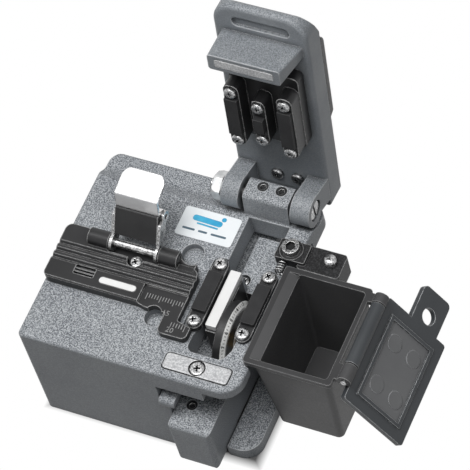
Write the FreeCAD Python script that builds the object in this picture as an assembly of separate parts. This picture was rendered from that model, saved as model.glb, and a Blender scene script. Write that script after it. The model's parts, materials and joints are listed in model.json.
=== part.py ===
import FreeCAD, Part
import math
import os

# Optical fibre cleaver, in millimetres.
#
# The pieces are laid out from the deck's front left corner: x to the right, y to the back and
# z up from the deck's surface.  save() moves each one to the part's own frame, whose origin is
# the centre of the underside.

V = FreeCAD.Vector

# --- driving dimensions ----------------------------------------------------------------------

# body casting
body_width = 63.0
body_depth = 62.0
body_height = 38.2
deck_depth = body_depth - 10.0   # front face to the foot of the step behind the deck
post_front = body_depth - 11.0
hinge_y = body_depth - 5.6
ledge_drop = 3.0              # how far the rear ledge lies under the deck
ledge_slope = 4.0             # run of the curved step between them
edge_round = 1.0
front_left_round = 1.4
front_right_round = 6.0
rear_round = 4.0

# channel that the carriage runs in, open at the front, the back and the right
channel_left = 41.2           # its left wall
channel_right = 53.8          # where the open side bay begins
front_beam = 7.3   # depth of the deck's front beam over the channel
deck_lip = 3.5                # thickness of the deck over the side bay
shelf_thickness = 4.2
shelf_set_back = 1.0          # shelf edge inside the body's right side
shelf_front = 1.5
shelf_round = 5.0
sole_thickness = 0.8
sole_inset = 2.0

# slot in the deck over the carriage
slot_left = 45.2
slot_right = 56.9
slot_front = 9.0
slot_back = post_front + 0.5
slot_round = 2.0

# carriage
slide_gap = 0.3
carriage_travel = 15.0
nose_reach = 4.0              # how far the push block stands out of the front face
nose_depth = 13.0
nose_top = -19.5
nose_bottom = -37.7
nose_right = 53.5
nose_round = 1.8
carriage_back = body_depth - 4.0
carriage_floor = -8.0   # top of the rear part, seen in the slot
floor_front = 33.8
floor_back = post_front - 0.2
floor_right = 58.5
floor_wing = 4.5
arm_top = -12.0
riser_front = 6.5
ear_left = 39.2
ear_right = 43.6
ear_bottom = -14.2
ear_reach = 1.3
rail_left = 46.9
rail_right = 50.3
strip_width = 3.0
strip_thickness = 2.0
strip_front = 17.6
strip_length = 17.4

# blade
blade_radius = 10.2
blade_thickness = 1.0
blade_rim = 1.8
blade_web = 0.6
wheel_radius = 9.8            # black wheel that the blade is fixed to
wheel_thickness = 2.4
wheel_recess = 0.7
blade_y = 20.0
blade_z = -7.8
blade_x = 53.3                # left face
blade_bore = 2.0
shaft_gap = 0.05              # radial running clearance of every pivot
hub_radius = 3.4
hub_screw_radius = 2.6
hub_screw_height = 1.5

# guide plate
guide_left = 0.3
guide_right = 40.4
guide_front = 17.3
guide_back = 34.2
guide_top = 3.0
guide_low = 2.2               # top of the plate's lower, graduated part
guide_step = 28.0             # x where the lower part begins
tongue_left = 36.3
tongue_right = 44.6
tongue_front = 10.7
tongue_chamfer = 1.5
locator_x = 33.3
locator_y = 15.6
locator_radius = 2.3
locator_depth = 2.6
groove_pitch = 2.2
groove_depth = 0.7
groove_count = 3
groove_first = 23.6
pocket_left = 8.0
pocket_right = 13.8
pocket_front = 20.2
pocket_back = 23.0
pocket_depth = 1.2
insert_left = 15.8
insert_length = 10.6
insert_width = 1.8
insert_y = 20.4
insert_proud = 0.15
plate_screw_x = 22.4
plate_screw_y = 28.8

# hinged fibre clamp on the guide plate
clamp_y = 31.7
clamp_z = 3.9
clamp_open_deg = 60.0         # angle of the open lever above the horizontal
clamp_travel_deg = 118.5
knuckle_radius = 2.3
clamp_pin_radius = 1.1
left_knuckle = (8.3, 6.0)   # start, length
right_knuckle_length = 9.9
lever_left = 15.4
lever_width = 12.4
lever_start = 2.84   # from the pivot along the lever
lever_end = 11.24
lever_thickness = 3.0
lever_face = 0.66   # from the pivot down to the clamping face
cheek_thickness = 0.8
cheek_gap = 0.3
tab_sheet = 0.7
tab_flange = 4.8
tab_length = 7.8
tab_flange_deg = 77.0
tab_deg = 11.0
tab_round = 3.0

# pads beside the blade
left_pad_x = 42.2
left_pad_width = 4.3
right_pad_x = 56.1
right_pad_width = 4.3
pad_front = 20.0
pad_length = 12.0
pad_top = 2.5
pad_thickness = 1.3
pad_screw_offset = 2.9        # screw centre beyond each end of the pad
pad_end_round = 2.1
pad_seat_depth = 0.7          # recess in the deck round the left pad's holder
pad_seat_gap = 0.7
pad_screw_radius = 1.8
pad_screw_height = 1.2
pad_screw_length = 1.5        # into the deck
guide_screw_length = 1.0      # into the deck
shank_radius = 0.7            # of every pan head screw
shank_gap = 0.03

# deck fittings
magnet_x = 41.0
magnet_y = 2.5
magnet_width = 18.5
magnet_depth = 4.7
magnet_thickness = 1.2
magnet_proud = 0.3
magnet_screw_x = 50.3
magnet_screw_radius = 2.1
magnet_seat_gap = 0.25
label_x = 27.7
label_y = 40.9
label_width = 16.4
label_depth = 9.1
label_thickness = 0.2
finger_pocket = (35.3, 36.6, 3.0, 2.2)   # x, y, radius, depth

# lid hinge
hinge_z = 3.8
lid_open_deg = 98.0
post_left = 43.5
post_width = 13.0
post_top = 3.2                # above the hinge axis
lug_gap = 1.0
lug_radius = 4.7
left_lug_width = 5.0
right_lug_width = 5.5
bolt_radius = 2.0
bolt_head_radius = 2.6
bolt_head_height = 1.6
bolt_recess_radius = 3.0
bolt_recess_depth = 2.1
nut_width = 7.0
nut_thickness = 2.6
washer_radius = 3.6
washer_thickness = 0.5
set_screw_radius = 1.5
set_screw_depth = 0.6
post_screw_spacing = 5.3
post_screw_shift = 0.5
post_screw_back = 1.2
arm_screw_u = 1.2             # screws in the plate between the hinge arms
arm_screw_spacing = 5.8

# lid, in its own terms: u forward from the hinge and v up from it when the lid is closed
lid_tail = -8.9
lid_tip = hinge_y + 6.2
lid_top = 15.7
lid_inner = 8.1               # v of the plate's inner face
lid_rim_round = 1.2
lid_side_reach = 0.7          # how far the plate stands out past the left hinge arm
lid_tip_bend = 52.0           # u where the top begins to slope down
lid_tip_top = 10.8
lid_lane_shift = -1.0   # the lid's pads stand a little left of the deck's
arm_front = 3.2               # u where the hinge arms meet the plate
lid_tip_round = 6.5
handle_back = 50.8
handle_front = 53.8
handle_foot_front = 55.9
handle_under = -3.2
handle_width = 20.0
handle_root_width = 22.4
groove_u = 55.9
finger_groove = (16.0, 3.2, 0.9)         # length, width, depth
strike_width = 16.0
strike_depth = 2.6
strike_proud = 0.1
strike_sunk = 0.6
cover_start = 20.5
cover_end = 50.5
cover_width = 25.0
cover_thickness = 1.6
frame_start = 19.0
frame_end = 45.0
frame_face = 4.6
holder_face = 0.2
lid_pad_face = -1.0
lid_pad_start = 24.0
lid_pad_length = 13.3
lid_pad_width = 3.6
anvil_x = 50.6
anvil_width = 2.8
anvil_start = 27.4
anvil_length = 5.0
anvil_face = -1.4
anvil_screw_u = 36.0
lid_screw_radius = 1.7
lid_screw_height = 1.1

# fibre bin at the right
bin_left = body_width - 1.7
bin_right = bin_left + 24.7
bin_front = 9.5
bin_back = 39.5
bin_rim = 2.0                 # z of the rim's top
rim_thickness = 1.6
bin_wall = 1.5
bin_depth = 34.5
bin_taper = 2.2
bin_land = 4.2                # width of the broad left rim
rim_lip = 1.5                 # flat outer part of that rim
rim_slope = 1.0               # fall of its inner part
bin_recess_gap = 0.3
bin_hinge_x = bin_right + 2.8
bin_hinge_z = 1.6
bin_hinge_radius = 1.9
bin_pin_radius = 0.8
bin_front_knuckle = (12.0, 4.7)
bin_rear_knuckle = (35.8, 2.7)
bin_lid_gap = 0.3
bin_lid_front = 9.0
bin_lid_back = 40.2
bin_lid_start = 2.6           # from the hinge axis to the plate's near edge
bin_lid_length = 22.7
bin_lid_thickness = 1.6
bin_lid_clear = 0.35          # closed plate over the rim
bin_lid_travel_deg = 234.7
bin_lid_rib = 0.5
bin_tab_width = 10.2
bin_tab_length = 10.4
latch_along = 16.6   # latch centre from the hinge axis
latch_y = 43.6
latch_radius = 1.8
latch_hole = 2.3
latch_height = 2.4
bracket_left = bin_left - 3.9
bracket_right = bin_left + 4.6
bracket_front = 40.6
bracket_depth = 5.9
bracket_top = 3.2
bracket_arm_right = bin_left + 14.5
bracket_arm_depth = 7.0
bracket_screw_x = bin_left
bracket_screw_radius = 2.3
bracket_screw_height = 1.9
bracket_screw_length = 2.5    # into the deck
bracket_shank_radius = 1.15
bracket_washer_radius = 3.2
bracket_washer_thickness = 0.3
spring_x = bin_left - 1.5
spring_radius = 1.0
spring_wire = 0.45
spring_turns = 4
spring_length = 3.6

# --- derived places --------------------------------------------------------------------------

channel_ceiling = -front_beam
channel_floor = -body_height + shelf_thickness
carriage_bottom = channel_floor + slide_gap
carriage_left = channel_left + slide_gap
carriage_right = channel_right - slide_gap
nose_front = -nose_reach
post_right = post_left + post_width
left_lug_right = post_left - lug_gap
left_lug_left = left_lug_right - left_lug_width
right_lug_left = post_right + lug_gap
right_lug_right = right_lug_left + right_lug_width
lid_left = left_lug_left
lid_right = right_lug_right
plate_left = lid_left - lid_side_reach
lid_middle = (lid_left + lid_right) / 2
wheel_left = blade_x - wheel_thickness
lever_right = lever_left + lever_width
left_cheek = lever_left - cheek_thickness
right_knuckle_start = lever_right + cheek_thickness + cheek_gap
latch_x = bin_hinge_x - latch_along
bin_middle_y = (bin_front + bin_back) / 2


# --- small helpers ---------------------------------------------------------------------------

def save(name, shape):
    """Write one node, moved to the part's frame."""
    moved = shape.copy()
    moved.translate(V(-body_width / 2, -body_depth / 2, body_height))
    moved.exportStep(os.path.join("parts", name + ".step"))
    box = moved.BoundBox
    print(f"{name:24s} solids {len(moved.Solids):2d} volume {moved.Volume:9.1f} valid {moved.isValid()} "
          f"z {box.ZMin:6.2f}..{box.ZMax:6.2f}")


def block(x0, x1, y0, y1, z0, z1):
    """A box between two corners."""
    return Part.makeBox(x1 - x0, y1 - y0, z1 - z0, V(x0, y0, z0))


def rod_x(x0, x1, y, z, radius):
    return Part.makeCylinder(radius, x1 - x0, V(x0, y, z), V(1, 0, 0))


def rod_y(y0, y1, x, z, radius):
    return Part.makeCylinder(radius, y1 - y0, V(x, y0, z), V(0, 1, 0))


def rod_z(z0, z1, x, y, radius):
    return Part.makeCylinder(radius, z1 - z0, V(x, y, z0), V(0, 0, 1))


def outline(corners, place):
    """A closed wire through corners (a, b) or (a, b, radius), rounded where a radius is given."""
    edges = []
    starts = []
    ends = []
    middles = []
    count = len(corners)
    for i in range(count):
        a, b = corners[i][0], corners[i][1]
        radius = corners[i][2] if len(corners[i]) > 2 else 0.0
        here = V(a, b, 0)
        before = V(corners[i - 1][0], corners[i - 1][1], 0)
        after = V(corners[(i + 1) % count][0], corners[(i + 1) % count][1], 0)
        if radius == 0.0:
            starts.append(here)
            ends.append(here)
            middles.append(None)
            continue
        to_before = (before - here).normalize()
        to_after = (after - here).normalize()
        half = to_before.getAngle(to_after) / 2
        reach = radius / math.tan(half)
        bisector = (to_before + to_after).normalize()
        centre = here + bisector * (radius / math.sin(half))
        starts.append(here + to_before * reach)
        ends.append(here + to_after * reach)
        middles.append(centre - bisector * radius)
    for i in range(count):
        if middles[i] is not None:
            arc = Part.Arc(place(starts[i]), place(middles[i]), place(ends[i]))
            edges.append(arc.toShape())
        following = starts[(i + 1) % count]
        if (following - ends[i]).Length > 1e-6:
            edges.append(Part.LineSegment(place(ends[i]), place(following)).toShape())
    return Part.Wire(edges)


def prism_x(corners, x0, x1):
    """Extrude a (y, z) outline from x0 to x1."""
    wire = outline(corners, lambda p: V(x0, p.x, p.y))
    return Part.Face(wire).extrude(V(x1 - x0, 0, 0))


def prism_y(corners, y0, y1):
    """Extrude an (x, z) outline from y0 to y1."""
    wire = outline(corners, lambda p: V(p.x, y0, p.y))
    return Part.Face(wire).extrude(V(0, y1 - y0, 0))


def prism_z(corners, z0, z1):
    """Extrude an (x, y) outline from z0 to z1."""
    wire = outline(corners, lambda p: V(p.x, p.y, z0))
    return Part.Face(wire).extrude(V(0, 0, z1 - z0))


def rounded_plate(x0, x1, y0, y1, z0, z1, radius):
    """A plate with four rounded corners."""
    return prism_z([(x0, y0, radius), (x1, y0, radius), (x1, y1, radius), (x0, y1, radius)], z0, z1)


def screw_head(x, y, z, radius, height):
    """A pan head standing on z, with a rounded top edge."""
    head = rod_z(z, z + height, x, y, radius)
    return round_edges(head, height * 0.55, lambda edge: edge.BoundBox.ZMin > z + height / 2)


def screw_shank(x, y, low, high, grown=0.0):
    """The shank under a pan head, or its hole when grown."""
    return rod_z(low, high, x, y, shank_radius + grown)


def round_edges(shape, radius, wanted):
    """Fillet the edges for which wanted(edge) is true."""
    edges = [edge for edge in shape.Edges if wanted(edge)]
    return shape.makeFillet(radius, edges)


# --- body ------------------------------------------------------------------------------------

def body_blank():
    """The casting's outside: its plan outline cut to the profile of deck, step and ledge."""
    plan = prism_z([(0, 0, front_left_round), (body_width, 0, front_right_round),
                    (body_width, body_depth, rear_round), (0, body_depth, rear_round)], -body_height, 0)
    plan = round_edges(plan, edge_round, lambda edge: edge.BoundBox.ZMin > -0.01)
    ledge = -ledge_drop
    slope_end = deck_depth + ledge_slope
    side = prism_x([(-1, -body_height - 1), (-1, 1), (deck_depth - 2, 1), (deck_depth - 2, 0),
                    (deck_depth, 0, 1.5), (slope_end, ledge, 3.0), (body_depth, ledge, edge_round),
                    (body_depth, -body_height - 1)], -1, body_width + 1)
    return plan.common(side)


def hinge_post():
    """The block that carries the hinge bolt, with a sloping front face."""
    top = hinge_z + post_top
    profile = [(post_front, channel_ceiling), (post_front + 0.7, channel_ceiling + 1.0),
               (post_front + 1.6, hinge_z - 2.0, 2.0), (hinge_y - lug_radius + 1.7, top, 1.4),
               (hinge_y + lug_radius - 1.5, top, 1.6), (body_depth - 0.6, hinge_z - 2.5, 1.5),
               (body_depth - 0.6, channel_ceiling)]
    return prism_x(profile, post_left, post_right)


def body_casting():
    body = body_blank()
    beyond = 1.0
    back = body_depth + beyond
    # the carriage's channel, its guide groove and the bay open to the right
    body = body.cut(block(channel_left, channel_right, -beyond, back, channel_floor, channel_ceiling))
    body = body.cut(block(ear_left - slide_gap, channel_left + beyond, -beyond, back,
                          ear_bottom - slide_gap, channel_ceiling))
    body = body.cut(block(channel_right - beyond, body_width + beyond, -beyond, post_front,
                          channel_floor, -deck_lip))
    body = body.cut(block(channel_right - beyond, body_width + beyond, post_front - beyond, back,
                          channel_floor, channel_ceiling))
    body = body.fuse(hinge_post())
    # slot over the carriage, with a small round bay at its front right corner
    slot = prism_z([(slot_left, slot_front, slot_round), (slot_right - 1.4, slot_front, slot_round),
                    (slot_right, slot_front + 3.4, 1.2), (slot_right, slot_back), (slot_left, slot_back)],
                   channel_ceiling - beyond, beyond)
    body = body.cut(slot)
    # shelf under the bay, with a notch that lets the push block run in
    shelf_end = body_width - shelf_set_back
    plan = prism_z([(-beyond, -beyond), (channel_left, -beyond), (channel_left, shelf_front),
                    (shelf_end, shelf_front, shelf_round), (shelf_end, back), (-beyond, back)],
                   -body_height - beyond, channel_floor)
    above = block(-beyond, body_width + beyond, -beyond, back, channel_floor, hinge_z + 2 * post_top)
    body = body.common(plan.fuse(above))
    notch_end = nose_depth - nose_reach + carriage_travel + slide_gap
    body = body.cut(block(channel_left, channel_right, -beyond, notch_end, -body_height - beyond,
                          channel_floor + beyond))
    # recess that the fibre bin nests in
    recess_left = bin_left - bin_recess_gap
    recess = prism_z([(recess_left, bin_front - bin_recess_gap, 2.0), (body_width + 4, bin_front - bin_recess_gap),
                      (body_width + 4, bin_back + bin_recess_gap), (recess_left, bin_back + bin_recess_gap, 1.0)],
                     channel_floor + 0.01, beyond)
    body = body.cut(recess)
    # shallow seat round the left pad's holder, open to the slot
    front, rear = pad_screw_rows()
    reach = pad_end_round + pad_seat_gap
    seat = prism_z([(left_pad_x - pad_seat_gap, front - reach, 1.2), (slot_left + 0.5, front - reach),
                    (slot_left + 0.5, rear + reach), (left_pad_x - pad_seat_gap, rear + reach, 1.8)],
                   -pad_seat_depth, beyond)
    body = body.cut(seat)
    # pockets in the deck
    body = body.cut(rod_z(-locator_depth, beyond, locator_x, locator_y, locator_radius + 0.4))
    x, y, radius, depth = finger_pocket
    body = body.cut(rod_z(-depth, beyond, x, y, radius))
    gap = magnet_seat_gap
    body = body.cut(rounded_plate(magnet_x - gap, magnet_x + magnet_width + gap, magnet_y - gap,
                                  magnet_y + magnet_depth + gap, magnet_proud - magnet_thickness, beyond, 1.1))
    # bolt bore and set screw holes in the post
    body = body.cut(rod_x(post_left - beyond, post_right + beyond, hinge_y, hinge_z, bolt_radius + 0.03))
    for x, y in set_screw_places():
        body = body.cut(rod_z(hinge_z, hinge_z + 2 * post_top, x, y, set_screw_radius + shank_gap))
    # holes under the screws of the pads, the guide plate and the bracket
    for x, y in pad_screw_places():
        body = body.cut(screw_shank(x, y, -pad_screw_length, beyond, shank_gap))
    body = body.cut(screw_shank(plate_screw_x, plate_screw_y, -guide_screw_length, beyond, shank_gap))
    body = body.cut(rod_z(-bracket_screw_length, beyond, bracket_screw_x, latch_y, bracket_shank_radius + shank_gap))
    # recess for the rubber sole
    body = body.cut(sole_blank(0.1))
    return body


def sole_blank(grown):
    """The rubber sole's outline, which goes round the push block's notch."""
    inset = sole_inset - grown
    right = channel_left - inset
    return prism_z([(inset, inset, 2.0), (right, inset, 2.0), (right, body_depth - inset, 2.0),
                    (inset, body_depth - inset, 2.0)], -body_height, -body_height + sole_thickness + grown)


def set_screw_places():
    """Plan positions of the two set screws over the hinge bolt."""
    middle = (post_left + post_right) / 2 + post_screw_shift
    return [(middle + side * post_screw_spacing / 2, hinge_y + post_screw_back) for side in (-1, 1)]


def set_screws():
    solids = []
    for x, y in set_screw_places():
        top = hinge_z + post_top - set_screw_depth / 2
        bottom = hinge_z + bolt_radius + 0.03
        screw = rod_z(bottom, top, x, y, set_screw_radius)
        solids.append(screw.cut(hex_bar(top - set_screw_depth, top + 1, x, y, 0.75)))
    return Part.makeCompound(solids)


def hex_bar(z0, z1, x, y, half_width):
    """An upright hexagonal bar, for sockets and nuts."""
    reach = half_width / math.cos(math.pi / 6)
    corners = [(x + reach * math.cos(math.pi / 3 * i), y + reach * math.sin(math.pi / 3 * i)) for i in range(6)]
    return prism_z(corners, z0, z1)


def hinge_bolt():
    head_end = right_lug_right - 0.4
    head_start = head_end - bolt_head_height
    bolt = rod_x(left_lug_left - washer_thickness - nut_thickness - 1.0, head_start, hinge_y, hinge_z, bolt_radius)
    bolt = bolt.fuse(rod_x(head_start, head_end, hinge_y, hinge_z, bolt_head_radius))
    slot = block(head_end - 0.7, head_end + 1, hinge_y - 0.4, hinge_y + 0.4, hinge_z - 3, hinge_z + 3)
    return bolt.cut(slot)


def hinge_washer():
    right = left_lug_left - 0.1
    washer = rod_x(right - washer_thickness, right, hinge_y, hinge_z, washer_radius)
    return washer.cut(rod_x(left_lug_left - 5, left_lug_left, hinge_y, hinge_z, bolt_radius + 0.03))


def hinge_nut():
    right = left_lug_left - 0.1 - washer_thickness
    nut = hex_bar(0, nut_thickness, 0, 0, nut_width / 2)
    nut = nut.common(Part.makeCone(nut_width / 2 * 1.28, nut_width / 2 * 1.06, nut_thickness))
    nut.rotate(V(0, 0, 0), V(0, 1, 0), -90)
    nut.translate(V(right, hinge_y, hinge_z))
    return nut.cut(rod_x(right - 5, right + 1, hinge_y, hinge_z, bolt_radius + 0.03))


# --- guide plate and clamp -------------------------------------------------------------------

def guide_outline(z0, z1):
    front_low = guide_front - 0.6
    return prism_z([(guide_left, guide_front, 1.5), (guide_step, guide_front), (guide_step + 2.2, front_low),
                    (tongue_left, front_low), (tongue_left, tongue_front, tongue_chamfer),
                    (tongue_right, tongue_front, tongue_chamfer), (tongue_right, pad_front - 5.6),
                    (guide_right, pad_front - 4.6, 0.5), (guide_right, guide_back - 4.4, 2.0),
                    (right_knuckle_start + right_knuckle_length, guide_back - 3.4),
                    (right_knuckle_start + right_knuckle_length, guide_back), (guide_left, guide_back, 2.0)],
                   z0, z1)


def guide_plate():
    plate = guide_outline(0, guide_top)
    # lower, graduated part and tongue
    plate = plate.cut(block(guide_step, tongue_right + 1, tongue_front - 1, groove_first - 0.6,
                            guide_low, guide_top + 1))
    plate = plate.cut(rod_z(-1, guide_top + 1, locator_x, locator_y, locator_radius))
    # bevel along the front edge
    bevel = prism_x([(guide_front - 1, guide_top - 1.4), (guide_front + 0.7, guide_top + 0.3),
                     (guide_front - 1, guide_top + 1)], guide_left - 1, guide_step)
    plate = plate.cut(bevel)
    # fibre grooves that run from side to side
    for i in range(groove_count):
        y = groove_first + i * groove_pitch
        groove = prism_x([(y - groove_depth, guide_top + 0.01), (y, guide_top - groove_depth),
                          (y + groove_depth, guide_top + 0.01)], guide_left - 1, guide_right + 1)
        plate = plate.cut(groove)
    # small pocket with two ribs
    plate = plate.cut(rounded_plate(pocket_left, pocket_right, pocket_front, pocket_back,
                                    guide_top - pocket_depth, guide_top + 1, 0.4))
    span = pocket_back - pocket_front
    for part in (1 / 3, 2 / 3):
        y = pocket_front + span * part
        plate = plate.fuse(block(pocket_left, pocket_right, y - 0.2, y + 0.2,
                                 guide_top - pocket_depth - 0.1, guide_top - 0.3))
    # seat for the lever and its cheeks between the knuckles, and the counterbored screw
    seat_left = left_cheek - cheek_gap
    seat_bottom = clamp_z - knuckle_radius - 0.8
    plate = plate.cut(block(seat_left, right_knuckle_start, clamp_y - knuckle_radius - cheek_gap, guide_back + 1,
                            seat_bottom, guide_top + 1))
    plate = plate.cut(rod_z(seat_bottom, guide_top + 1, plate_screw_x, plate_screw_y, pad_screw_radius + 0.4))
    plate = plate.cut(screw_shank(plate_screw_x, plate_screw_y, -1, guide_top, shank_gap))
    # seat for the pale insert
    plate = plate.cut(insert_blank(0.0))
    # knuckles for the lever's pin
    for start, length in (left_knuckle, (right_knuckle_start, right_knuckle_length)):
        knuckle = rod_x(start, start + length, clamp_y, clamp_z, knuckle_radius)
        web = block(start, start + length, clamp_y - knuckle_radius + 0.3, clamp_y + knuckle_radius - 0.4, 0.1, clamp_z)
        plate = plate.fuse(knuckle.fuse(web))
    pin_hole = rod_x(left_knuckle[0] + 0.5, right_knuckle_start + right_knuckle_length + 1, clamp_y, clamp_z,
                     clamp_pin_radius + 0.03)
    return plate.cut(pin_hole)


def insert_blank(lift):
    half = insert_width / 2
    return rounded_plate(insert_left, insert_left + insert_length, insert_y - half, insert_y + half,
                         guide_top - 0.8, guide_top + insert_proud + lift, half - 0.01)


def guide_screw():
    z = clamp_z - knuckle_radius - 0.8
    head = screw_head(plate_screw_x, plate_screw_y, z, pad_screw_radius, pad_screw_height)
    return head.fuse(screw_shank(plate_screw_x, plate_screw_y, -guide_screw_length, z + 0.1))


def clamp_pin():
    return rod_x(left_knuckle[0] + 0.6, right_knuckle_start + right_knuckle_length - 0.4, clamp_y, clamp_z,
                 clamp_pin_radius)


def along_lever(w, n, degrees=clamp_open_deg):
    """A (y, z) point w along the open lever and n off its clamping side."""
    angle = math.radians(degrees)
    return (clamp_y + w * math.cos(angle) - n * math.sin(angle),
            clamp_z + w * math.sin(angle) + n * math.cos(angle))


def clamp_lever():
    """The dark block whose flat face presses the fibre down."""
    back = lever_face - lever_thickness
    corners = [along_lever(lever_start, lever_face) + (0.3,), along_lever(lever_end, lever_face) + (0.4,),
               along_lever(lever_end, back), along_lever(lever_start, back) + (0.6,)]
    return prism_x(corners, lever_left, lever_right)


def clamp_tab():
    """The bent sheet that lifts the lever: back strip, flange and finger tab."""
    back = lever_face - lever_thickness
    root = along_lever(lever_start + 0.6, back)
    corner = along_lever(lever_end + 0.02, back)
    face = along_lever(lever_end + 0.02, lever_face - 0.6)
    flange = math.radians(tab_flange_deg)
    bend = (face[0] + tab_flange * math.cos(flange), face[1] + tab_flange * math.sin(flange))
    tab = math.radians(tab_deg)
    tip = (bend[0] + tab_length * math.cos(tab), bend[1] + tab_length * math.sin(tab))
    off = tab_sheet
    normal = (math.cos(math.radians(clamp_open_deg)), math.sin(math.radians(clamp_open_deg)))
    outside = math.radians(clamp_open_deg - 90)
    shift = (off * math.cos(outside), off * math.sin(outside))
    lift = (off * normal[0], off * normal[1])
    profile = [root, corner, face, bend + (0.35,), tip,
               (tip[0] + off * math.sin(tab), tip[1] - off * math.cos(tab)),
               (bend[0] + off * 1.1, bend[1] - off * 0.9), (face[0] + lift[0] + off * 0.6, face[1] + lift[1]),
               (corner[0] + lift[0] + shift[0], corner[1] + lift[1] + shift[1]),
               (root[0] + shift[0], root[1] + shift[1])]
    sheet = prism_x(profile, lever_left, lever_right)
    trim = prism_z([(lever_left, 0), (lever_right, 0), (lever_right, tip[0] + 0.5, tab_round + 0.5),
                    (lever_left, tip[0] + 0.5, tab_round + 0.5)], 0, 40)
    return sheet.common(trim)


def clamp_cheeks():
    """Two sheet cheeks that carry the lever on its pin, each with an ear."""
    solids = []
    for x, eared in ((left_cheek, False), (lever_right, True)):
        hub = rod_x(x, x + cheek_thickness, clamp_y, clamp_z, knuckle_radius + 0.1)
        back = lever_face - lever_thickness
        arm = prism_x([along_lever(0, lever_face), along_lever(lever_end - 2.6, lever_face, clamp_open_deg) + (1.0,),
                       along_lever(lever_end - 0.8, back - tab_sheet) + (1.0,),
                       along_lever(-0.6, back - 0.2) + (1.0,)], x, x + cheek_thickness)
        cheek = hub.fuse(arm)
        if eared:
            y, z = along_lever(lever_end - 1.2, back - 0.4)
            cheek = cheek.fuse(rod_x(x, x + cheek_thickness, y, z, 1.7))
            cheek = cheek.cut(rod_x(x - 1, x + 2, y, z, 0.8))
        cheek = cheek.cut(rod_x(x - 1, x + 2, clamp_y, clamp_z, clamp_pin_radius + shaft_gap))
        solids.append(cheek)
    return Part.makeCompound(solids)


# --- pads beside the blade -------------------------------------------------------------------

def pad_holder(x, width, bottom):
    """A low black bar with rounded ends that hold its screws."""
    middle = x + width / 2
    base_top = pad_top - pad_thickness
    front, back = pad_screw_rows()
    bar = rounded_plate(x, x + width, front, back, bottom, base_top, 0.1)
    for y in (front, back):
        bar = bar.fuse(rod_z(bottom, base_top, middle, y, pad_end_round))
        bar = bar.cut(screw_shank(middle, y, bottom - 1, base_top + 1, shank_gap))
    return bar


def pad_screw_rows():
    return (pad_front - pad_screw_offset, pad_front + pad_length + pad_screw_offset)


def rubber_pad(x, width):
    return rounded_plate(x + 0.2, x + width - 0.2, pad_front, pad_front + pad_length,
                         pad_top - pad_thickness, pad_top, 0.3)


def pad_screw_places():
    """Plan positions of the four screws beside the pads."""
    middles = (left_pad_x + left_pad_width / 2, right_pad_x + right_pad_width / 2)
    return [(x, y) for x in middles for y in pad_screw_rows()]


def pad_screws():
    base_top = pad_top - pad_thickness
    solids = []
    for x, y in pad_screw_places():
        head = screw_head(x, y, base_top, pad_screw_radius, pad_screw_height)
        solids.append(head.fuse(screw_shank(x, y, -pad_screw_length, base_top + 0.1)))
    return Part.makeCompound(solids)


# --- deck fittings ---------------------------------------------------------------------------

def magnet_plate():
    bottom = magnet_proud - magnet_thickness
    plate = rounded_plate(magnet_x, magnet_x + magnet_width, magnet_y, magnet_y + magnet_depth,
                          bottom, magnet_proud, 1.0)
    plate = round_edges(plate, 0.25, lambda edge: edge.BoundBox.ZMin > magnet_proud - 0.01)
    middle = magnet_y + magnet_depth / 2
    return plate.cut(rod_z(bottom + 0.3, 1, magnet_screw_x, middle, magnet_screw_radius + 0.2))


def magnet_screw():
    middle = magnet_y + magnet_depth / 2
    seat = magnet_proud - magnet_thickness + 0.3
    return screw_head(magnet_screw_x, middle, seat, magnet_screw_radius, magnet_proud + 0.05 - seat)


def label_plate():
    return rounded_plate(label_x, label_x + label_width, label_y, label_y + label_depth, 0, label_thickness, 0.9)


def rubber_sole():
    return sole_blank(0.0)


# --- carriage --------------------------------------------------------------------------------

def carriage_block():
    """The sliding casting: push block, guide ear, low beam, pedestal, and the raised rear floor."""
    nose_end = nose_front + nose_depth
    nose_plan = [(nose_front, nose_bottom, 1.0), (nose_front, nose_top, nose_round), (nose_end, nose_top),
                 (nose_end, nose_bottom)]
    nose = prism_x(nose_plan, carriage_left, nose_right)
    corner = prism_y([(carriage_left, nose_bottom, 2.5), (nose_right, nose_bottom, 2.5), (nose_right, 0),
                      (carriage_left, 0)], nose_front - 1, nose_end + 1)
    sides = prism_z([(carriage_left, nose_front, 0.8), (nose_right, nose_front, nose_round),
                     (nose_right, nose_end), (carriage_left, nose_end)], nose_bottom - 1, 0)
    nose = nose.common(corner).common(sides)
    low = block(carriage_left, carriage_right, shelf_front, carriage_back, carriage_bottom, nose_top)
    riser = block(carriage_left, rail_right, riser_front, carriage_back, nose_top, arm_top)
    ear = prism_x([(-ear_reach, ear_bottom), (-ear_reach, arm_top, 1.4), (carriage_back, arm_top),
                   (carriage_back, ear_bottom)], ear_left, ear_right)
    pedestal = block(rail_left, rail_right, strip_front - 0.6, strip_front + strip_length, arm_top,
                     -strip_thickness)
    rear = block(rail_left, rail_right, floor_front, floor_back, arm_top, carriage_floor)
    wing = prism_y([(rail_right, carriage_floor), (floor_right, carriage_floor, 0.6),
                    (floor_right, carriage_floor - floor_wing, 1.0), (rail_right, carriage_floor - floor_wing - 3)],
                   floor_front, floor_back)
    hub = rod_x(rail_right - 0.5, wheel_left - 0.1, blade_y, blade_z, hub_radius)
    axle = rod_x(wheel_left - 0.2, blade_x + blade_thickness + 0.1, blade_y, blade_z, blade_bore - shaft_gap)
    shape = nose
    for piece in (low, riser, ear, pedestal, rear, wing, hub, axle):
        shape = shape.fuse(piece)
    shape = shape.removeSplitter()
    shape = shape.cut(nose_socket(0.03))
    for x, y, z in floor_screw_places():
        shape = shape.cut(rod_z(z - 1.6, z + 6, x, y, 1.7))
    return shape.cut(rod_x(blade_x - 2, blade_x + 3, blade_y, blade_z, 0.9))


def nose_socket(grown):
    x = carriage_left + 4.0
    y = nose_front + 7.6
    return rod_z(nose_top - 4, nose_top + 1, x, y, set_screw_radius + grown)


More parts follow.
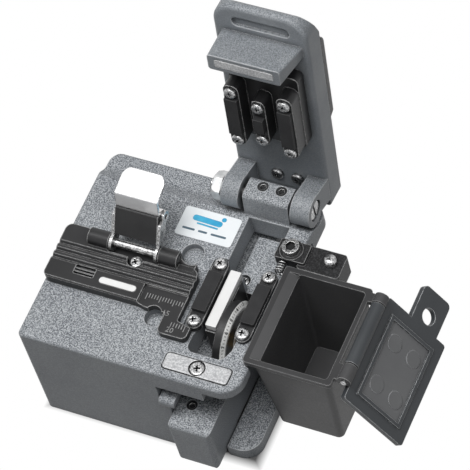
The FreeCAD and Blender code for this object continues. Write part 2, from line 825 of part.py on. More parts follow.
def nose_screw():
    x = carriage_left + 4.0
    y = nose_front + 7.6
    top = nose_top - 0.4
    screw = rod_z(nose_top - 4, top, x, y, set_screw_radius)
    return screw.cut(hex_bar(top - 1.0, top + 1, x, y, 0.75))


def floor_screw_places():
    """The two flush screws in the carriage: one ahead of the strip, one in the rear floor."""
    middle = rail_left + strip_width / 2
    return [(middle + 0.4, strip_front - 3.6, arm_top), (rail_right - 1.9, floor_front + 3.4, carriage_floor)]


def floor_screws():
    solids = []
    for x, y, z in floor_screw_places():
        solids.append(screw_head(x, y, z - 1.6, 1.6, 1.5))
    return Part.makeCompound(solids)


def carriage_strip():
    strip = rounded_plate(rail_left + 0.1, rail_left + 0.1 + strip_width, strip_front,
                          strip_front + strip_length, -strip_thickness, 0, 0.2)
    return strip


def blade():
    """Disc blade with a thick marked rim, a thinner web and a ground edge."""
    half = blade_thickness / 2
    web = blade_web / 2
    inner = blade_radius - blade_rim
    points = [(blade_bore, -web), (inner - 0.4, -web), (inner, -half), (blade_radius - 0.35, -half),
              (blade_radius, 0), (blade_radius - 0.35, half), (inner, half), (inner - 0.4, web), (blade_bore, web)]
    wire = outline(points, lambda p: V(p.y, p.x, 0))
    disc = Part.Face(wire).revolve(V(0, 0, 0), V(1, 0, 0), 360)
    hub = rod_x(-half, half, 0, 0, hub_radius).cut(rod_x(-half, half, 0, 0, blade_bore))
    disc = disc.fuse(hub)
    disc.translate(V(blade_x + half, blade_y, blade_z))
    return disc


def blade_wheel():
    """Black wheel behind the blade, with a shallow dish round its hub."""
    wheel = rod_x(wheel_left, blade_x, blade_y, blade_z, wheel_radius)
    wheel = round_edges(wheel, 0.3, lambda edge: edge.BoundBox.XMax < blade_x - 0.1 and edge.BoundBox.XLength < 0.1)
    dish = rod_x(wheel_left - 1, wheel_left + wheel_recess, blade_y, blade_z, wheel_radius - 1.6)
    dish = dish.cut(rod_x(wheel_left - 2, wheel_left + 2, blade_y, blade_z, hub_radius + 0.4))
    wheel = wheel.cut(dish)
    return wheel.cut(rod_x(wheel_left - 1, blade_x + 1, blade_y, blade_z, blade_bore))


def blade_screw():
    """Brass screw with a slotted head that keeps the blade on its axle."""
    start = blade_x + blade_thickness + 0.1
    head = rod_x(start, start + hub_screw_height, blade_y, blade_z, hub_screw_radius)
    head = round_edges(head, 0.3, lambda edge: edge.BoundBox.XMin > start + hub_screw_height - 0.01
                       and edge.Closed)
    head = head.cut(block(start + hub_screw_height - 0.6, start + 5, blade_y - 0.35, blade_y + 0.35,
                          blade_z - 4, blade_z + 4))
    return head.fuse(rod_x(blade_x - 1.9, start + 0.1, blade_y, blade_z, 0.87))


# --- lid -------------------------------------------------------------------------------------

def lid_box(x0, x1, u0, u1, v0, v1):
    """A box in the lid's own terms, laid out closed."""
    return block(x0, x1, hinge_y - u1, hinge_y - u0, hinge_z + v0, hinge_z + v1)


def lid_profile(corners, x0, x1):
    """Extrude a (u, v) outline across the lid, laid out closed."""
    placed = [(hinge_y - corner[0], hinge_z + corner[1]) + tuple(corner[2:]) for corner in corners]
    return prism_x(placed, x0, x1)


def lid_plan(x0, x1, u0, u1, v0, v1, radius):
    return rounded_plate(x0, x1, hinge_y - u1, hinge_y - u0, hinge_z + v0, hinge_z + v1, radius)


def lid_rod(x, u, v0, v1, radius):
    return rod_z(hinge_z + v0, hinge_z + v1, x, hinge_y - u, radius)


def opened(shape):
    """Turn a lid piece from its closed layout to the open rest pose."""
    turned = shape.copy()
    turned.rotate(V(0, hinge_y, hinge_z), V(1, 0, 0), -lid_open_deg)
    return turned


def lid_shell():
    """Thick cast plate with a sloping tip, two hinge arms and the handle block."""
    below = lid_inner - 1.0
    side = lid_profile([(lid_tail, lid_inner + 1.2, 0.8), (lid_tail, lid_top, 3.5), (lid_tip_bend, lid_top, 6.0),
                        (lid_tip, lid_tip_top, 2.0), (lid_tip, below), (-3.0, below), (-3.0, lid_inner)],
                       plate_left, lid_right)
    plan = prism_z([(plate_left, hinge_y - lid_tip, lid_tip_round), (lid_right, hinge_y - lid_tip, lid_tip_round),
                    (lid_right, hinge_y - lid_tail, 2.5), (plate_left, hinge_y - lid_tail, 2.5)],
                   hinge_z + lid_inner, hinge_z + 2 * lid_top)
    plan = round_edges(plan, lid_rim_round, lambda edge: edge.BoundBox.ZMax < hinge_z + lid_inner + 0.01)
    shell = side.common(plan)
    # bevel down both long sides of the outer face
    for edge, inward in ((plate_left, 1), (lid_right, -1)):
        strip = prism_y([(edge - inward, hinge_z + lid_top - 1.6), (edge + inward * 1.6, hinge_z + lid_top + 1),
                         (edge - inward, hinge_z + lid_top + 1)], hinge_y - lid_tip - 1, hinge_y - lid_tail + 1)
        shell = shell.cut(strip)
    # lugs of the hinge on their arms
    for x0, x1 in ((left_lug_left, left_lug_right), (right_lug_left, right_lug_right)):
        lug = rod_x(x0, x1, hinge_y, hinge_z, lug_radius)
        arm = lid_profile([(-lug_radius + 1.2, 3.0), (-lug_radius - 0.2, lid_inner + 0.6),
                           (arm_front, lid_inner + 0.6), (arm_front, lid_inner), (lug_radius - 0.3, 1.2)], x0, x1)
        shell = shell.fuse(lug.fuse(arm))
    shell = shell.fuse(lid_handle()).removeSplitter()
    length, width, depth = finger_groove
    groove = lid_plan(lid_middle - length / 2, lid_middle + length / 2, groove_u, groove_u + width,
                      lid_inner - 2.0, lid_inner + depth, width / 2 - 0.05)
    shell = shell.cut(groove)
    shell = shell.cut(rod_x(lid_left - 1, lid_right + 1, hinge_y, hinge_z, bolt_radius + shaft_gap))
    shell = shell.cut(rod_x(right_lug_right - bolt_recess_depth, right_lug_right + 1, hinge_y, hinge_z,
                            bolt_recess_radius))
    return shell.cut(strike_blank(handle_under - 1))


def strike_blank(low):
    """The strike's outline on the handle's foot, from v = low up to its seat."""
    middle = (handle_back + handle_foot_front) / 2
    return lid_plan(lid_middle - strike_width / 2, lid_middle + strike_width / 2, middle - strike_depth / 2,
                    middle + strike_depth / 2, low, handle_under + strike_sunk, 0.4)


def lid_handle():
    """Tapered block under the tip, lofted from its root to its foot."""
    def ring(width, u0, u1, v):
        corners = [(lid_middle - width / 2, hinge_y - u0), (lid_middle + width / 2, hinge_y - u0),
                   (lid_middle + width / 2, hinge_y - u1), (lid_middle - width / 2, hinge_y - u1)]
        return outline([corner + (0.8,) for corner in corners], lambda p: V(p.x, p.y, hinge_z + v))

    foot = ring(handle_width, handle_back, handle_foot_front, handle_under)
    root = ring(handle_root_width, handle_back - 1.0, handle_front, lid_inner + 0.3)
    return Part.makeLoft([foot, root], True, True)


def lid_strike():
    return strike_blank(handle_under - strike_proud)


def lid_cover():
    """Dark plate let over the outer face, with bevelled edges."""
    top = lid_top + cover_thickness
    plate = lid_profile([(cover_start, lid_top), (cover_start + 0.8, top), (cover_end - 1.6, top, 4.0),
                         (cover_end, lid_top)], lid_middle - cover_width / 2, lid_middle + cover_width / 2)
    shell_top = lid_plan(lid_left - 1, lid_right + 1, cover_start - 1, cover_end + 1, lid_top, top + 1, 0.5)
    return plate.common(shell_top)


def lid_pad_lanes():
    """Left edge and width of the two pad lanes of the lid, over the pads beside the blade."""
    inset = (left_pad_width - lid_pad_width) / 2
    return [(left_pad_x + inset + lid_lane_shift, lid_pad_width), (right_pad_x + inset, lid_pad_width)]


def lid_frame():
    """Black frame screwed inside the lid, with one holder over each pad and one for the anvil."""
    lanes = lid_pad_lanes()
    left = lanes[0][0] - 0.6
    right = lanes[1][0] + lanes[1][1] + 0.6
    frame = lid_plan(left, right, frame_start, frame_end, frame_face, lid_inner, 1.5)
    for x, width in lanes:
        middle = x + width / 2
        first, last = lid_screw_rows()[1], lid_screw_rows()[0]
        bar = lid_plan(middle - left_pad_width / 2, middle + left_pad_width / 2, first - 2.2, last + 2.2,
                       holder_face, lid_inner, 1.8)
        frame = frame.fuse(bar)
    first, last = anvil_screw_rows()[1], anvil_screw_rows()[0]
    bar = lid_plan(anvil_x - 1.9, anvil_x + 1.9, first - 2.0, last + 2.0, holder_face, lid_inner, 1.6)
    frame = frame.fuse(bar)
    return frame.removeSplitter()


def lid_screw_rows():
    """The lid's screws stand over the screws of the deck pads, front one first."""
    return [hinge_y - y for y in pad_screw_rows()]


def anvil_screw_rows():
    return (anvil_screw_u, 2 * anvil_start + anvil_length - anvil_screw_u)


def lid_pads():
    solids = []
    for x, width in lid_pad_lanes():
        solids.append(lid_box(x, x + width, lid_pad_start, lid_pad_start + lid_pad_length, lid_pad_face,
                              holder_face))
    return solids


def lid_anvil():
    anvil = lid_box(anvil_x - anvil_width / 2, anvil_x + anvil_width / 2, anvil_start, anvil_start + anvil_length,
                    anvil_face, holder_face)
    return anvil


def lid_screws():
    """Pan heads that look down when the lid is closed: pads, anvil, and two between the arms."""
    places = [(x + width / 2, u, holder_face) for x, width in lid_pad_lanes() for u in lid_screw_rows()]
    places += [(anvil_x, u, holder_face) for u in anvil_screw_rows()]
    middle = (post_left + post_right) / 2 + 1.6
    places += [(middle + side * arm_screw_spacing / 2, arm_screw_u, lid_inner) for side in (-1, 1)]
    solids = []
    for x, u, v in places:
        head = screw_head(0, 0, 0, lid_screw_radius, lid_screw_height)
        head.rotate(V(0, 0, 0), V(1, 0, 0), 180)
        head.translate(V(x, hinge_y - u, hinge_z + v))
        solids.append(head)
    return Part.makeCompound(solids)


# --- fibre bin -------------------------------------------------------------------------------

def tapered_box(x0, x1, y0, y1, z0, taper_x0, taper_x1, taper_y, z1, radius):
    """A box that narrows downwards from z0 to z1, its four upright edges rounded."""
    def ring(a0, a1, b0, b1, z):
        return outline([(a0, b0), (a1, b0), (a1, b1), (a0, b1)], lambda p: V(p.x, p.y, z))

    top = ring(x0, x1, y0, y1, z0)
    bottom = ring(x0 + taper_x0, x1 - taper_x1, y0 + taper_y, y1 - taper_y, z1)
    box = Part.makeLoft([bottom, top], True, True)
    return round_edges(box, radius, lambda edge: edge.BoundBox.ZLength > (z0 - z1) / 2)


def bin_box():
    under_rim = bin_rim - rim_thickness
    floor = bin_rim - bin_depth
    outer = tapered_box(bin_left + 1.9, bin_right - 0.9, bin_front + 0.8, bin_back - 0.8, under_rim + 0.2,
                        1.4, bin_taper, bin_taper, floor, 1.6)
    rim = rounded_plate(bin_left, bin_right, bin_front, bin_back, under_rim, bin_rim, 1.0)
    box = outer.fuse(rim)
    inner_left = bin_left + bin_land
    inner_right = bin_right - bin_wall
    inner_front = bin_front + bin_wall
    inner_back = bin_back - bin_wall
    cavity = tapered_box(inner_left, inner_right, inner_front, inner_back, bin_rim + 0.1,
                         0.6, bin_taper + 0.2, bin_taper, floor + bin_wall, 1.0)
    # the left rim slopes down towards the mouth
    slope = prism_y([(bin_left + rim_lip, bin_rim + 0.1), (inner_left + 0.1, bin_rim + 0.1),
                     (inner_left + 0.1, bin_rim - rim_slope), (bin_left + rim_lip, bin_rim)],
                    inner_front, inner_back)
    box = box.cut(slope)
    # two knuckles on the right rim
    for start, length in (bin_front_knuckle, bin_rear_knuckle):
        knuckle = rod_y(start, start + length, bin_hinge_x, bin_hinge_z, bin_hinge_radius)
        arm = prism_y([(bin_right - 1.0, under_rim), (bin_right - 1.0, bin_rim), (bin_hinge_x - 0.6, bin_rim),
                       (bin_hinge_x + 0.5, bin_hinge_z - bin_hinge_radius + 0.3),
                       (bin_hinge_x - 1.0, bin_hinge_z - bin_hinge_radius + 0.2)], start, start + length)
        box = box.fuse(knuckle.fuse(arm))
    box = box.cut(cavity)
    box = box.cut(rod_y(bin_front, bin_back, bin_hinge_x, bin_hinge_z, bin_pin_radius + 0.03))
    # notch in the rim for the lid's barrel
    notch = block(bin_right - 0.2, bin_hinge_x + 3, bin_front_knuckle[0] + bin_front_knuckle[1],
                  bin_rear_knuckle[0], under_rim - 1, bin_rim + 3)
    return box.cut(notch).removeSplitter()


def bin_pin():
    return rod_y(bin_front_knuckle[0] - 0.5, bin_rear_knuckle[0] + bin_rear_knuckle[1], bin_hinge_x, bin_hinge_z,
                 bin_pin_radius)


def bin_lid():
    """Flat lid with a barrel, a raised inner frame, ejector marks and a latch tab, laid out closed."""
    under = bin_rim + bin_lid_clear
    top = under + bin_lid_thickness
    near = bin_hinge_x - bin_lid_start
    far = near - bin_lid_length
    lid = rounded_plate(far, near, bin_lid_front, bin_lid_back, under, top, 0.8)
    tab = rounded_plate(latch_x - bin_tab_width / 2, latch_x + bin_tab_width / 2, bin_lid_back - 2.0,
                        bin_lid_back + bin_tab_length, under, top, 1.5)
    lid = lid.fuse(tab)
    start = bin_front_knuckle[0] + bin_front_knuckle[1] + bin_lid_gap
    end = bin_rear_knuckle[0] - bin_lid_gap
    barrel = rod_y(start, end, bin_hinge_x, bin_hinge_z, bin_hinge_radius)
    web = prism_y([(near - 0.5, under), (near - 0.5, top), (bin_hinge_x - 0.4, top - 0.5), (bin_hinge_x, under - 0.3),
                   (bin_hinge_x - 1.4, under)], start, end)
    lid = lid.fuse(barrel.fuse(web))
    # the frame on the inner face fits inside the bin's mouth
    gap = 1.2
    frame_left = bin_left + bin_land + gap
    frame_right = bin_right - bin_wall - gap
    frame_front = bin_front + bin_wall + gap
    frame_back = bin_back - bin_wall - gap
    rib = block(frame_left, frame_right, frame_front, frame_back, under - bin_lid_rib, under + 0.1)
    rib = rib.cut(block(frame_left + 1.1, frame_right - 1.1, frame_front + 1.1, frame_back - 1.1, under - 2, under))
    lid = lid.fuse(rib)
    for x in (frame_left + 4.6, frame_right - 4.6):
        for y in (frame_front + 6.0, frame_back - 6.0):
            lid = lid.fuse(rod_z(under - 0.15, under + 0.1, x, y, 2.4))
    lid = lid.cut(rod_z(under - 2, top + 2, latch_x, latch_y, latch_hole))
    return lid.cut(rod_y(start - 1, end + 1, bin_hinge_x, bin_hinge_z, bin_pin_radius + shaft_gap)).removeSplitter()


def hanging(shape):
    """Turn the bin lid from its closed layout to where it hangs open."""
    turned = shape.copy()
    turned.rotate(V(bin_hinge_x, 0, bin_hinge_z), V(0, 1, 0), bin_lid_travel_deg)
    return turned


def bin_bracket():
    """Black bracket on the deck that carries the bin and its latch stud."""
    body = rounded_plate(bracket_left, bracket_right, bracket_front, bracket_front + bracket_depth, 0,
                         bracket_top, 0.5)
    arm = rounded_plate(bracket_right - 2.0, bracket_arm_right, bin_back, bracket_front + bracket_depth + 0.5,
                        bin_rim - bracket_arm_depth, bin_rim, 0.9)
    outer = block(bracket_right - 2.0, bracket_arm_right, bin_back, bracket_front + 20, -20, 10)
    arm = arm.common(outer)
    bracket = body.fuse(arm)
    hole = rod_z(-1, bracket_top + 1, bracket_screw_x, latch_y, bracket_shank_radius + shank_gap)
    return bracket.cut(hole).removeSplitter()


def bracket_screw():
    washer = rod_z(bracket_top, bracket_top + bracket_washer_thickness, bracket_screw_x, latch_y,
                   bracket_washer_radius)
    base = bracket_top + bracket_washer_thickness
    head = rod_z(base, base + bracket_screw_height, bracket_screw_x, latch_y, bracket_screw_radius)
    top = base + bracket_screw_height
    head = head.cut(hex_bar(top - 1.1, top + 1, bracket_screw_x, latch_y, 1.25))
    shank = rod_z(-bracket_screw_length, bracket_top + 0.1, bracket_screw_x, latch_y, bracket_shank_radius)
    return washer.fuse(head).fuse(shank)


def latch_stud():
    head = screw_head(latch_x, latch_y, bin_rim, latch_radius, latch_height)
    return head


def bracket_spring():
    """Small coil spring lying in front of the bracket."""
    height = spring_length - spring_wire
    path = Part.Wire(Part.makeHelix(height / spring_turns, height, spring_radius).Edges)
    section = Part.Wire(Part.makeCircle(spring_wire / 2, V(spring_radius, 0, 0), V(0, 1, 0)))
    coil = path.makePipeShell([section], True, True)
    coil.rotate(V(0, 0, 0), V(1, 0, 0), -90)
    coil.translate(V(spring_x, bracket_front - height - spring_wire / 2, spring_radius + spring_wire / 2 + 0.02))
    return coil


# --- write every node ------------------------------------------------------------------------

def build():
    os.makedirs("parts", exist_ok=True)
    fixed = {
        "body_casting": body_casting(), "rubber_sole": rubber_sole(), "post_set_screws": set_screws(),
        "hinge_bolt": hinge_bolt(), "hinge_washer": hinge_washer(), "hinge_nut": hinge_nut(),
        "guide_plate": guide_plate(), "guide_insert": insert_blank(0.0), "guide_screw": guide_screw(),
        "clamp_pin": clamp_pin(),
        "left_pad_holder": pad_holder(left_pad_x, left_pad_width, -pad_seat_depth),
        "right_pad_holder": pad_holder(right_pad_x, right_pad_width, 0),
        "left_pad": rubber_pad(left_pad_x, left_pad_width),
        "right_pad": rubber_pad(right_pad_x, right_pad_width), "pad_screws": pad_screws(),
        "magnet_plate": magnet_plate(), "magnet_screw": magnet_screw(), "label_plate": label_plate(),
        "bin_box": bin_box(), "bin_pin": bin_pin(), "bin_bracket": bin_bracket(),
        "bracket_screw": bracket_screw(), "latch_stud": latch_stud(), "bracket_spring": bracket_spring(),
    }
    sliding = {
        "carriage_block": carriage_block(), "carriage_strip": carriage_strip(), "nose_screw": nose_screw(),
        "floor_screws": floor_screws(), "blade_screw": blade_screw(), "blade_disc": blade(),
        "blade_wheel": blade_wheel(),
    }
    clamp = {"clamp_lever": clamp_lever(), "clamp_tab": clamp_tab(), "clamp_cheeks": clamp_cheeks()}
    left_lid_pad, right_lid_pad = lid_pads()
    lid = {
        "lid_shell": lid_shell(), "lid_strike": lid_strike(), "lid_cover": lid_cover(), "lid_frame": lid_frame(),
        "lid_left_pad": left_lid_pad, "lid_right_pad": right_lid_pad, "lid_anvil": lid_anvil(),
        "lid_screws": lid_screws(),
    }
    for group in (fixed, sliding, clamp):
        for name, shape in group.items():
            save(name, shape)
    for name, shape in lid.items():
        save(name, opened(shape))
    save("bin_lid", hanging(bin_lid()))


build()
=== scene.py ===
import bmesh
import bpy
import json
import math
from mathutils import Matrix, Vector

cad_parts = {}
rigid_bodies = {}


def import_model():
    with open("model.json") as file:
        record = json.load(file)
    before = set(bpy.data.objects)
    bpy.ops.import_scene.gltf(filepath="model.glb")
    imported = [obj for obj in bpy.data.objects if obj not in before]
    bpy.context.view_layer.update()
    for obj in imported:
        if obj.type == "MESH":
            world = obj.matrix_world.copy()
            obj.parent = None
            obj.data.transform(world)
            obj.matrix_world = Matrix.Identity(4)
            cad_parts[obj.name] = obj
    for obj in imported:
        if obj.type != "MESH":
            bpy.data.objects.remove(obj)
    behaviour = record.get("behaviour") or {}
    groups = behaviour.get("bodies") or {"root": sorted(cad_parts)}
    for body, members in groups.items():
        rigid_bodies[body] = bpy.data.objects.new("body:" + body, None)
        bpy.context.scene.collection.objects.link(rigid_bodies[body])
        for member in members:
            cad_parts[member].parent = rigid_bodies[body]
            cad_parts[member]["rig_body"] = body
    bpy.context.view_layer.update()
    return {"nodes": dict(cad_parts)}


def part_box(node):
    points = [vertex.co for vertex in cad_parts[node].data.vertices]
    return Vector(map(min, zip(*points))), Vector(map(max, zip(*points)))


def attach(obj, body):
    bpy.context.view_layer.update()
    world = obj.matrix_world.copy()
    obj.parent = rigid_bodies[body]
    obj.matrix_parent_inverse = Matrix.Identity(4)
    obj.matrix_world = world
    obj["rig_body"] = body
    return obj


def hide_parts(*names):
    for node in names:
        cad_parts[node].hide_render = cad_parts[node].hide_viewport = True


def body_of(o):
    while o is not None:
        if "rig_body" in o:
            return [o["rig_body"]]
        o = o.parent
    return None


# fibre cleaver, dressed for the render: metres, same frame as the solids

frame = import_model()
nodes = frame["nodes"]
mm = 0.001
print("frame loaded:", len(nodes), "nodes")


# material helpers

def srgb(r, g, b):
    def lin(c):
        c = c / 255
        return c / 12.92 if c <= 0.04045 else ((c + 0.055) / 1.055) ** 2.4
    return (lin(r), lin(g), lin(b), 1.0)


def noise(tree, coords, scale, detail=2.0, roughness=0.5):
    node = tree.nodes.new("ShaderNodeTexNoise")
    node.inputs["Scale"].default_value = scale
    node.inputs["Detail"].default_value = detail
    node.inputs["Roughness"].default_value = roughness
    tree.links.new(coords, node.inputs["Vector"])
    return node.outputs[0]


def mapRange(tree, value, low, high, newLow=0.0, newHigh=1.0):
    node = tree.nodes.new("ShaderNodeMapRange")
    node.clamp = True
    node.inputs["From Min"].default_value = low
    node.inputs["From Max"].default_value = high
    node.inputs["To Min"].default_value = newLow
    node.inputs["To Max"].default_value = newHigh
    tree.links.new(value, node.inputs["Value"])
    return node.outputs["Result"]


def times(tree, first, second):
    node = tree.nodes.new("ShaderNodeMath")
    node.operation = "MULTIPLY"
    tree.links.new(first, node.inputs[0])
    tree.links.new(second, node.inputs[1])
    return node.outputs[0]


def mixColour(tree, factor, first, second, blend="MIX"):
    node = tree.nodes.new("ShaderNodeMix")
    node.data_type = "RGBA"
    node.blend_type = blend
    for socket, value in ((0, factor), (6, first), (7, second)):
        if isinstance(value, bpy.types.NodeSocket):
            tree.links.new(value, node.inputs[socket])
        else:
            node.inputs[socket].default_value = value
    return node.outputs[2]


# camera, floor and light

camera = {
    "lens": 263.1, "sensor": 36.0,
    "place": (0.3234, -0.3803, 0.7876),
    "right": (0.90528, 0.38879, -0.17121),
    "up": (-0.24806, 0.81096, 0.52992),
    "back": (0.34487, -0.43725, 0.83059),
    "nearest": 0.01,
}


def makeCamera(c):
    data = bpy.data.cameras.new("camera")
    data.lens = c["lens"]
    data.sensor_width = c["sensor"]
    data.clip_start = c["nearest"]
    obj = bpy.data.objects.new("camera", data)
    turn = Matrix((c["right"], c["up"], c["back"])).transposed().to_4x4()
    obj.matrix_world = Matrix.Translation(c["place"]) @ turn
    bpy.context.scene.collection.objects.link(obj)
    bpy.context.scene.camera = obj


lamps = {
    "overhead": {"place": (-0.10, -0.10, 0.74), "aim": (0, 0, 0.04), "size": 0.34, "power": 3.3},
    "rightSide": {"place": (0.26, -0.16, 0.68), "aim": (0, 0, 0.04), "size": 0.30, "power": 1.9},
}
softLight = {"level": 0.06, "tint": (0.97, 0.985, 1.0, 1.0)}


def makeLamps():
    for name, lamp in lamps.items():
        data = bpy.data.lights.new(name, "AREA")
        data.energy = lamp["power"]
        data.size = lamp["size"]
        obj = bpy.data.objects.new(name, data)
        obj.location = lamp["place"]
        aim = Vector(lamp["aim"]) - Vector(lamp["place"])
        obj.rotation_euler = aim.to_track_quat("-Z", "Y").to_euler()
        bpy.context.scene.collection.objects.link(obj)


def seenDirectly(tree):
    # 1 for rays that show the backdrop itself: camera, mirror and glass
    path = tree.nodes.new("ShaderNodeLightPath")
    first = tree.nodes.new("ShaderNodeMath")
    first.operation = "MAXIMUM"
    tree.links.new(path.outputs["Is Camera Ray"], first.inputs[0])
    tree.links.new(path.outputs["Is Glossy Ray"], first.inputs[1])
    second = tree.nodes.new("ShaderNodeMath")
    second.operation = "MAXIMUM"
    tree.links.new(first.outputs[0], second.inputs[0])
    tree.links.new(path.outputs["Is Transmission Ray"], second.inputs[1])
    return second.outputs[0]


def makeWorld(w):
    world = bpy.data.worlds.new("studio")
    world.use_nodes = True
    tree = world.node_tree
    tree.nodes.clear()
    out = tree.nodes.new("ShaderNodeOutputWorld")
    soft = tree.nodes.new("ShaderNodeBackground")
    soft.inputs["Color"].default_value = w["tint"]
    soft.inputs["Strength"].default_value = w["level"]
    white = tree.nodes.new("ShaderNodeBackground")
    white.inputs["Strength"].default_value = 1.0
    white.inputs["Color"].default_value = (1.0, 1.0, 1.0, 1.0)
    mix = tree.nodes.new("ShaderNodeMixShader")
    tree.links.new(seenDirectly(tree), mix.inputs[0])
    tree.links.new(soft.outputs[0], mix.inputs[1])
    tree.links.new(white.outputs[0], mix.inputs[2])
    tree.links.new(mix.outputs[0], out.inputs[0])
    bpy.context.scene.world = world


floorSheet = {"size": 3.0, "colour": 0.13, "shadowInset": 0.002, "shadowSoft": 0.003}


def underObject(tree, low, high, inset, soft):
    # 0 below the object, 1 outside it, soft between
    coords = tree.nodes.new("ShaderNodeTexCoord").outputs["Object"]
    split = tree.nodes.new("ShaderNodeSeparateXYZ")
    tree.links.new(coords, split.inputs[0])
    away = None
    for axis in (0, 1):
        for edge, side in ((low[axis] + inset, -1), (high[axis] - inset, 1)):
            outside = mapRange(tree, split.outputs[axis], edge, edge + side * soft)
            if away is None:
                away = outside
                continue
            larger = tree.nodes.new("ShaderNodeMath")
            larger.operation = "MAXIMUM"
            tree.links.new(away, larger.inputs[0])
            tree.links.new(outside, larger.inputs[1])
            away = larger.outputs[0]
    return away


def makeFloor(f):
    bm = bmesh.new()
    bmesh.ops.create_grid(bm, x_segments=1, y_segments=1, size=f["size"] / 2)
    mesh = bpy.data.meshes.new("floor")
    bm.to_mesh(mesh)
    bm.free()
    obj = bpy.data.objects.new("floor", mesh)
    bpy.context.scene.collection.objects.link(obj)
    mat = bpy.data.materials.new("floor paper")
    mat.use_nodes = True
    tree = mat.node_tree
    tree.nodes.clear()
    out = tree.nodes.new("ShaderNodeOutputMaterial")
    paper = tree.nodes.new("ShaderNodeBsdfDiffuse")
    paper.inputs["Color"].default_value = (f["colour"], f["colour"], f["colour"], 1)
    glow = tree.nodes.new("ShaderNodeEmission")
    glow.inputs["Strength"].default_value = 1.0
    share = tree.nodes.new("ShaderNodeMath")
    share.operation = "MULTIPLY"
    low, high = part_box("body_casting")
    tree.links.new(seenDirectly(tree), share.inputs[0])
    # painted shadow: under the body's box the floor loses its glow and shows its dark paper
    away = underObject(tree, low, high, f["shadowInset"], f["shadowSoft"])
    tree.links.new(away, share.inputs[1])
    mix = tree.nodes.new("ShaderNodeMixShader")
    tree.links.new(share.outputs[0], mix.inputs[0])
    tree.links.new(paper.outputs[0], mix.inputs[1])
    tree.links.new(glow.outputs[0], mix.inputs[2])
    tree.links.new(mix.outputs[0], out.inputs[0])
    mesh.materials.append(mat)


makeCamera(camera)
makeLamps()
makeWorld(softLight)
makeFloor(floorSheet)
bpy.context.scene.view_settings.view_transform = "Standard"
print("camera, light and floor ready")


# finishes

surface = {
    "edgeSamples": 6, "edgeRange": (0.99, 0.82), "creviceSamples": 4,
    "cloudDetail": 3.0, "cloudRange": (0.35, 0.65), "grainDetail": 1.0,
    "facingRange": (0.1, 0.8), "lightRange": (0.52, 0.64), "darkRange": (0.47, 0.36),
    # painted edge highlight: scale and span of the noise that varies its strength
    "paintedEdgeScale": 6, "paintedEdgeRange": (0.25, 0.6), "leastPaintedEdge": 0.35,
    # where the painted edge highlight stops in corners, and the painted shade in corners and gaps
    # with its near black colour
    "openRange": (0.55, 0.8), "paintedShadeRange": (0.25, 0.85), "paintedShade": (0.004, 0.004, 0.005, 1.0),
    "grainRange": (0.3, 0.7), "roughSpread": 0.06, "bumpHeight": 0.0001,
}


def edgeMask(tree, radius):
    # 1 on sharp edges, 0 on flats: the rounded normal leans away from the true one there
    bevel = tree.nodes.new("ShaderNodeBevel")
    bevel.samples = surface["edgeSamples"]
    bevel.inputs["Radius"].default_value = radius
    true = tree.nodes.new("ShaderNodeNewGeometry")
    dot = tree.nodes.new("ShaderNodeVectorMath")
    dot.operation = "DOT_PRODUCT"
    tree.links.new(bevel.outputs[0], dot.inputs[0])
    tree.links.new(true.outputs["Normal"], dot.inputs[1])
    return mapRange(tree, dot.outputs["Value"], *surface["edgeRange"]), bevel.outputs[0]


def crevices(tree, reach):
    # 1 in the open, towards 0 in corners and gaps
    node = tree.nodes.new("ShaderNodeAmbientOcclusion")
    node.samples = surface["creviceSamples"]
    node.inputs["Distance"].default_value = reach
    return node.outputs["AO"]


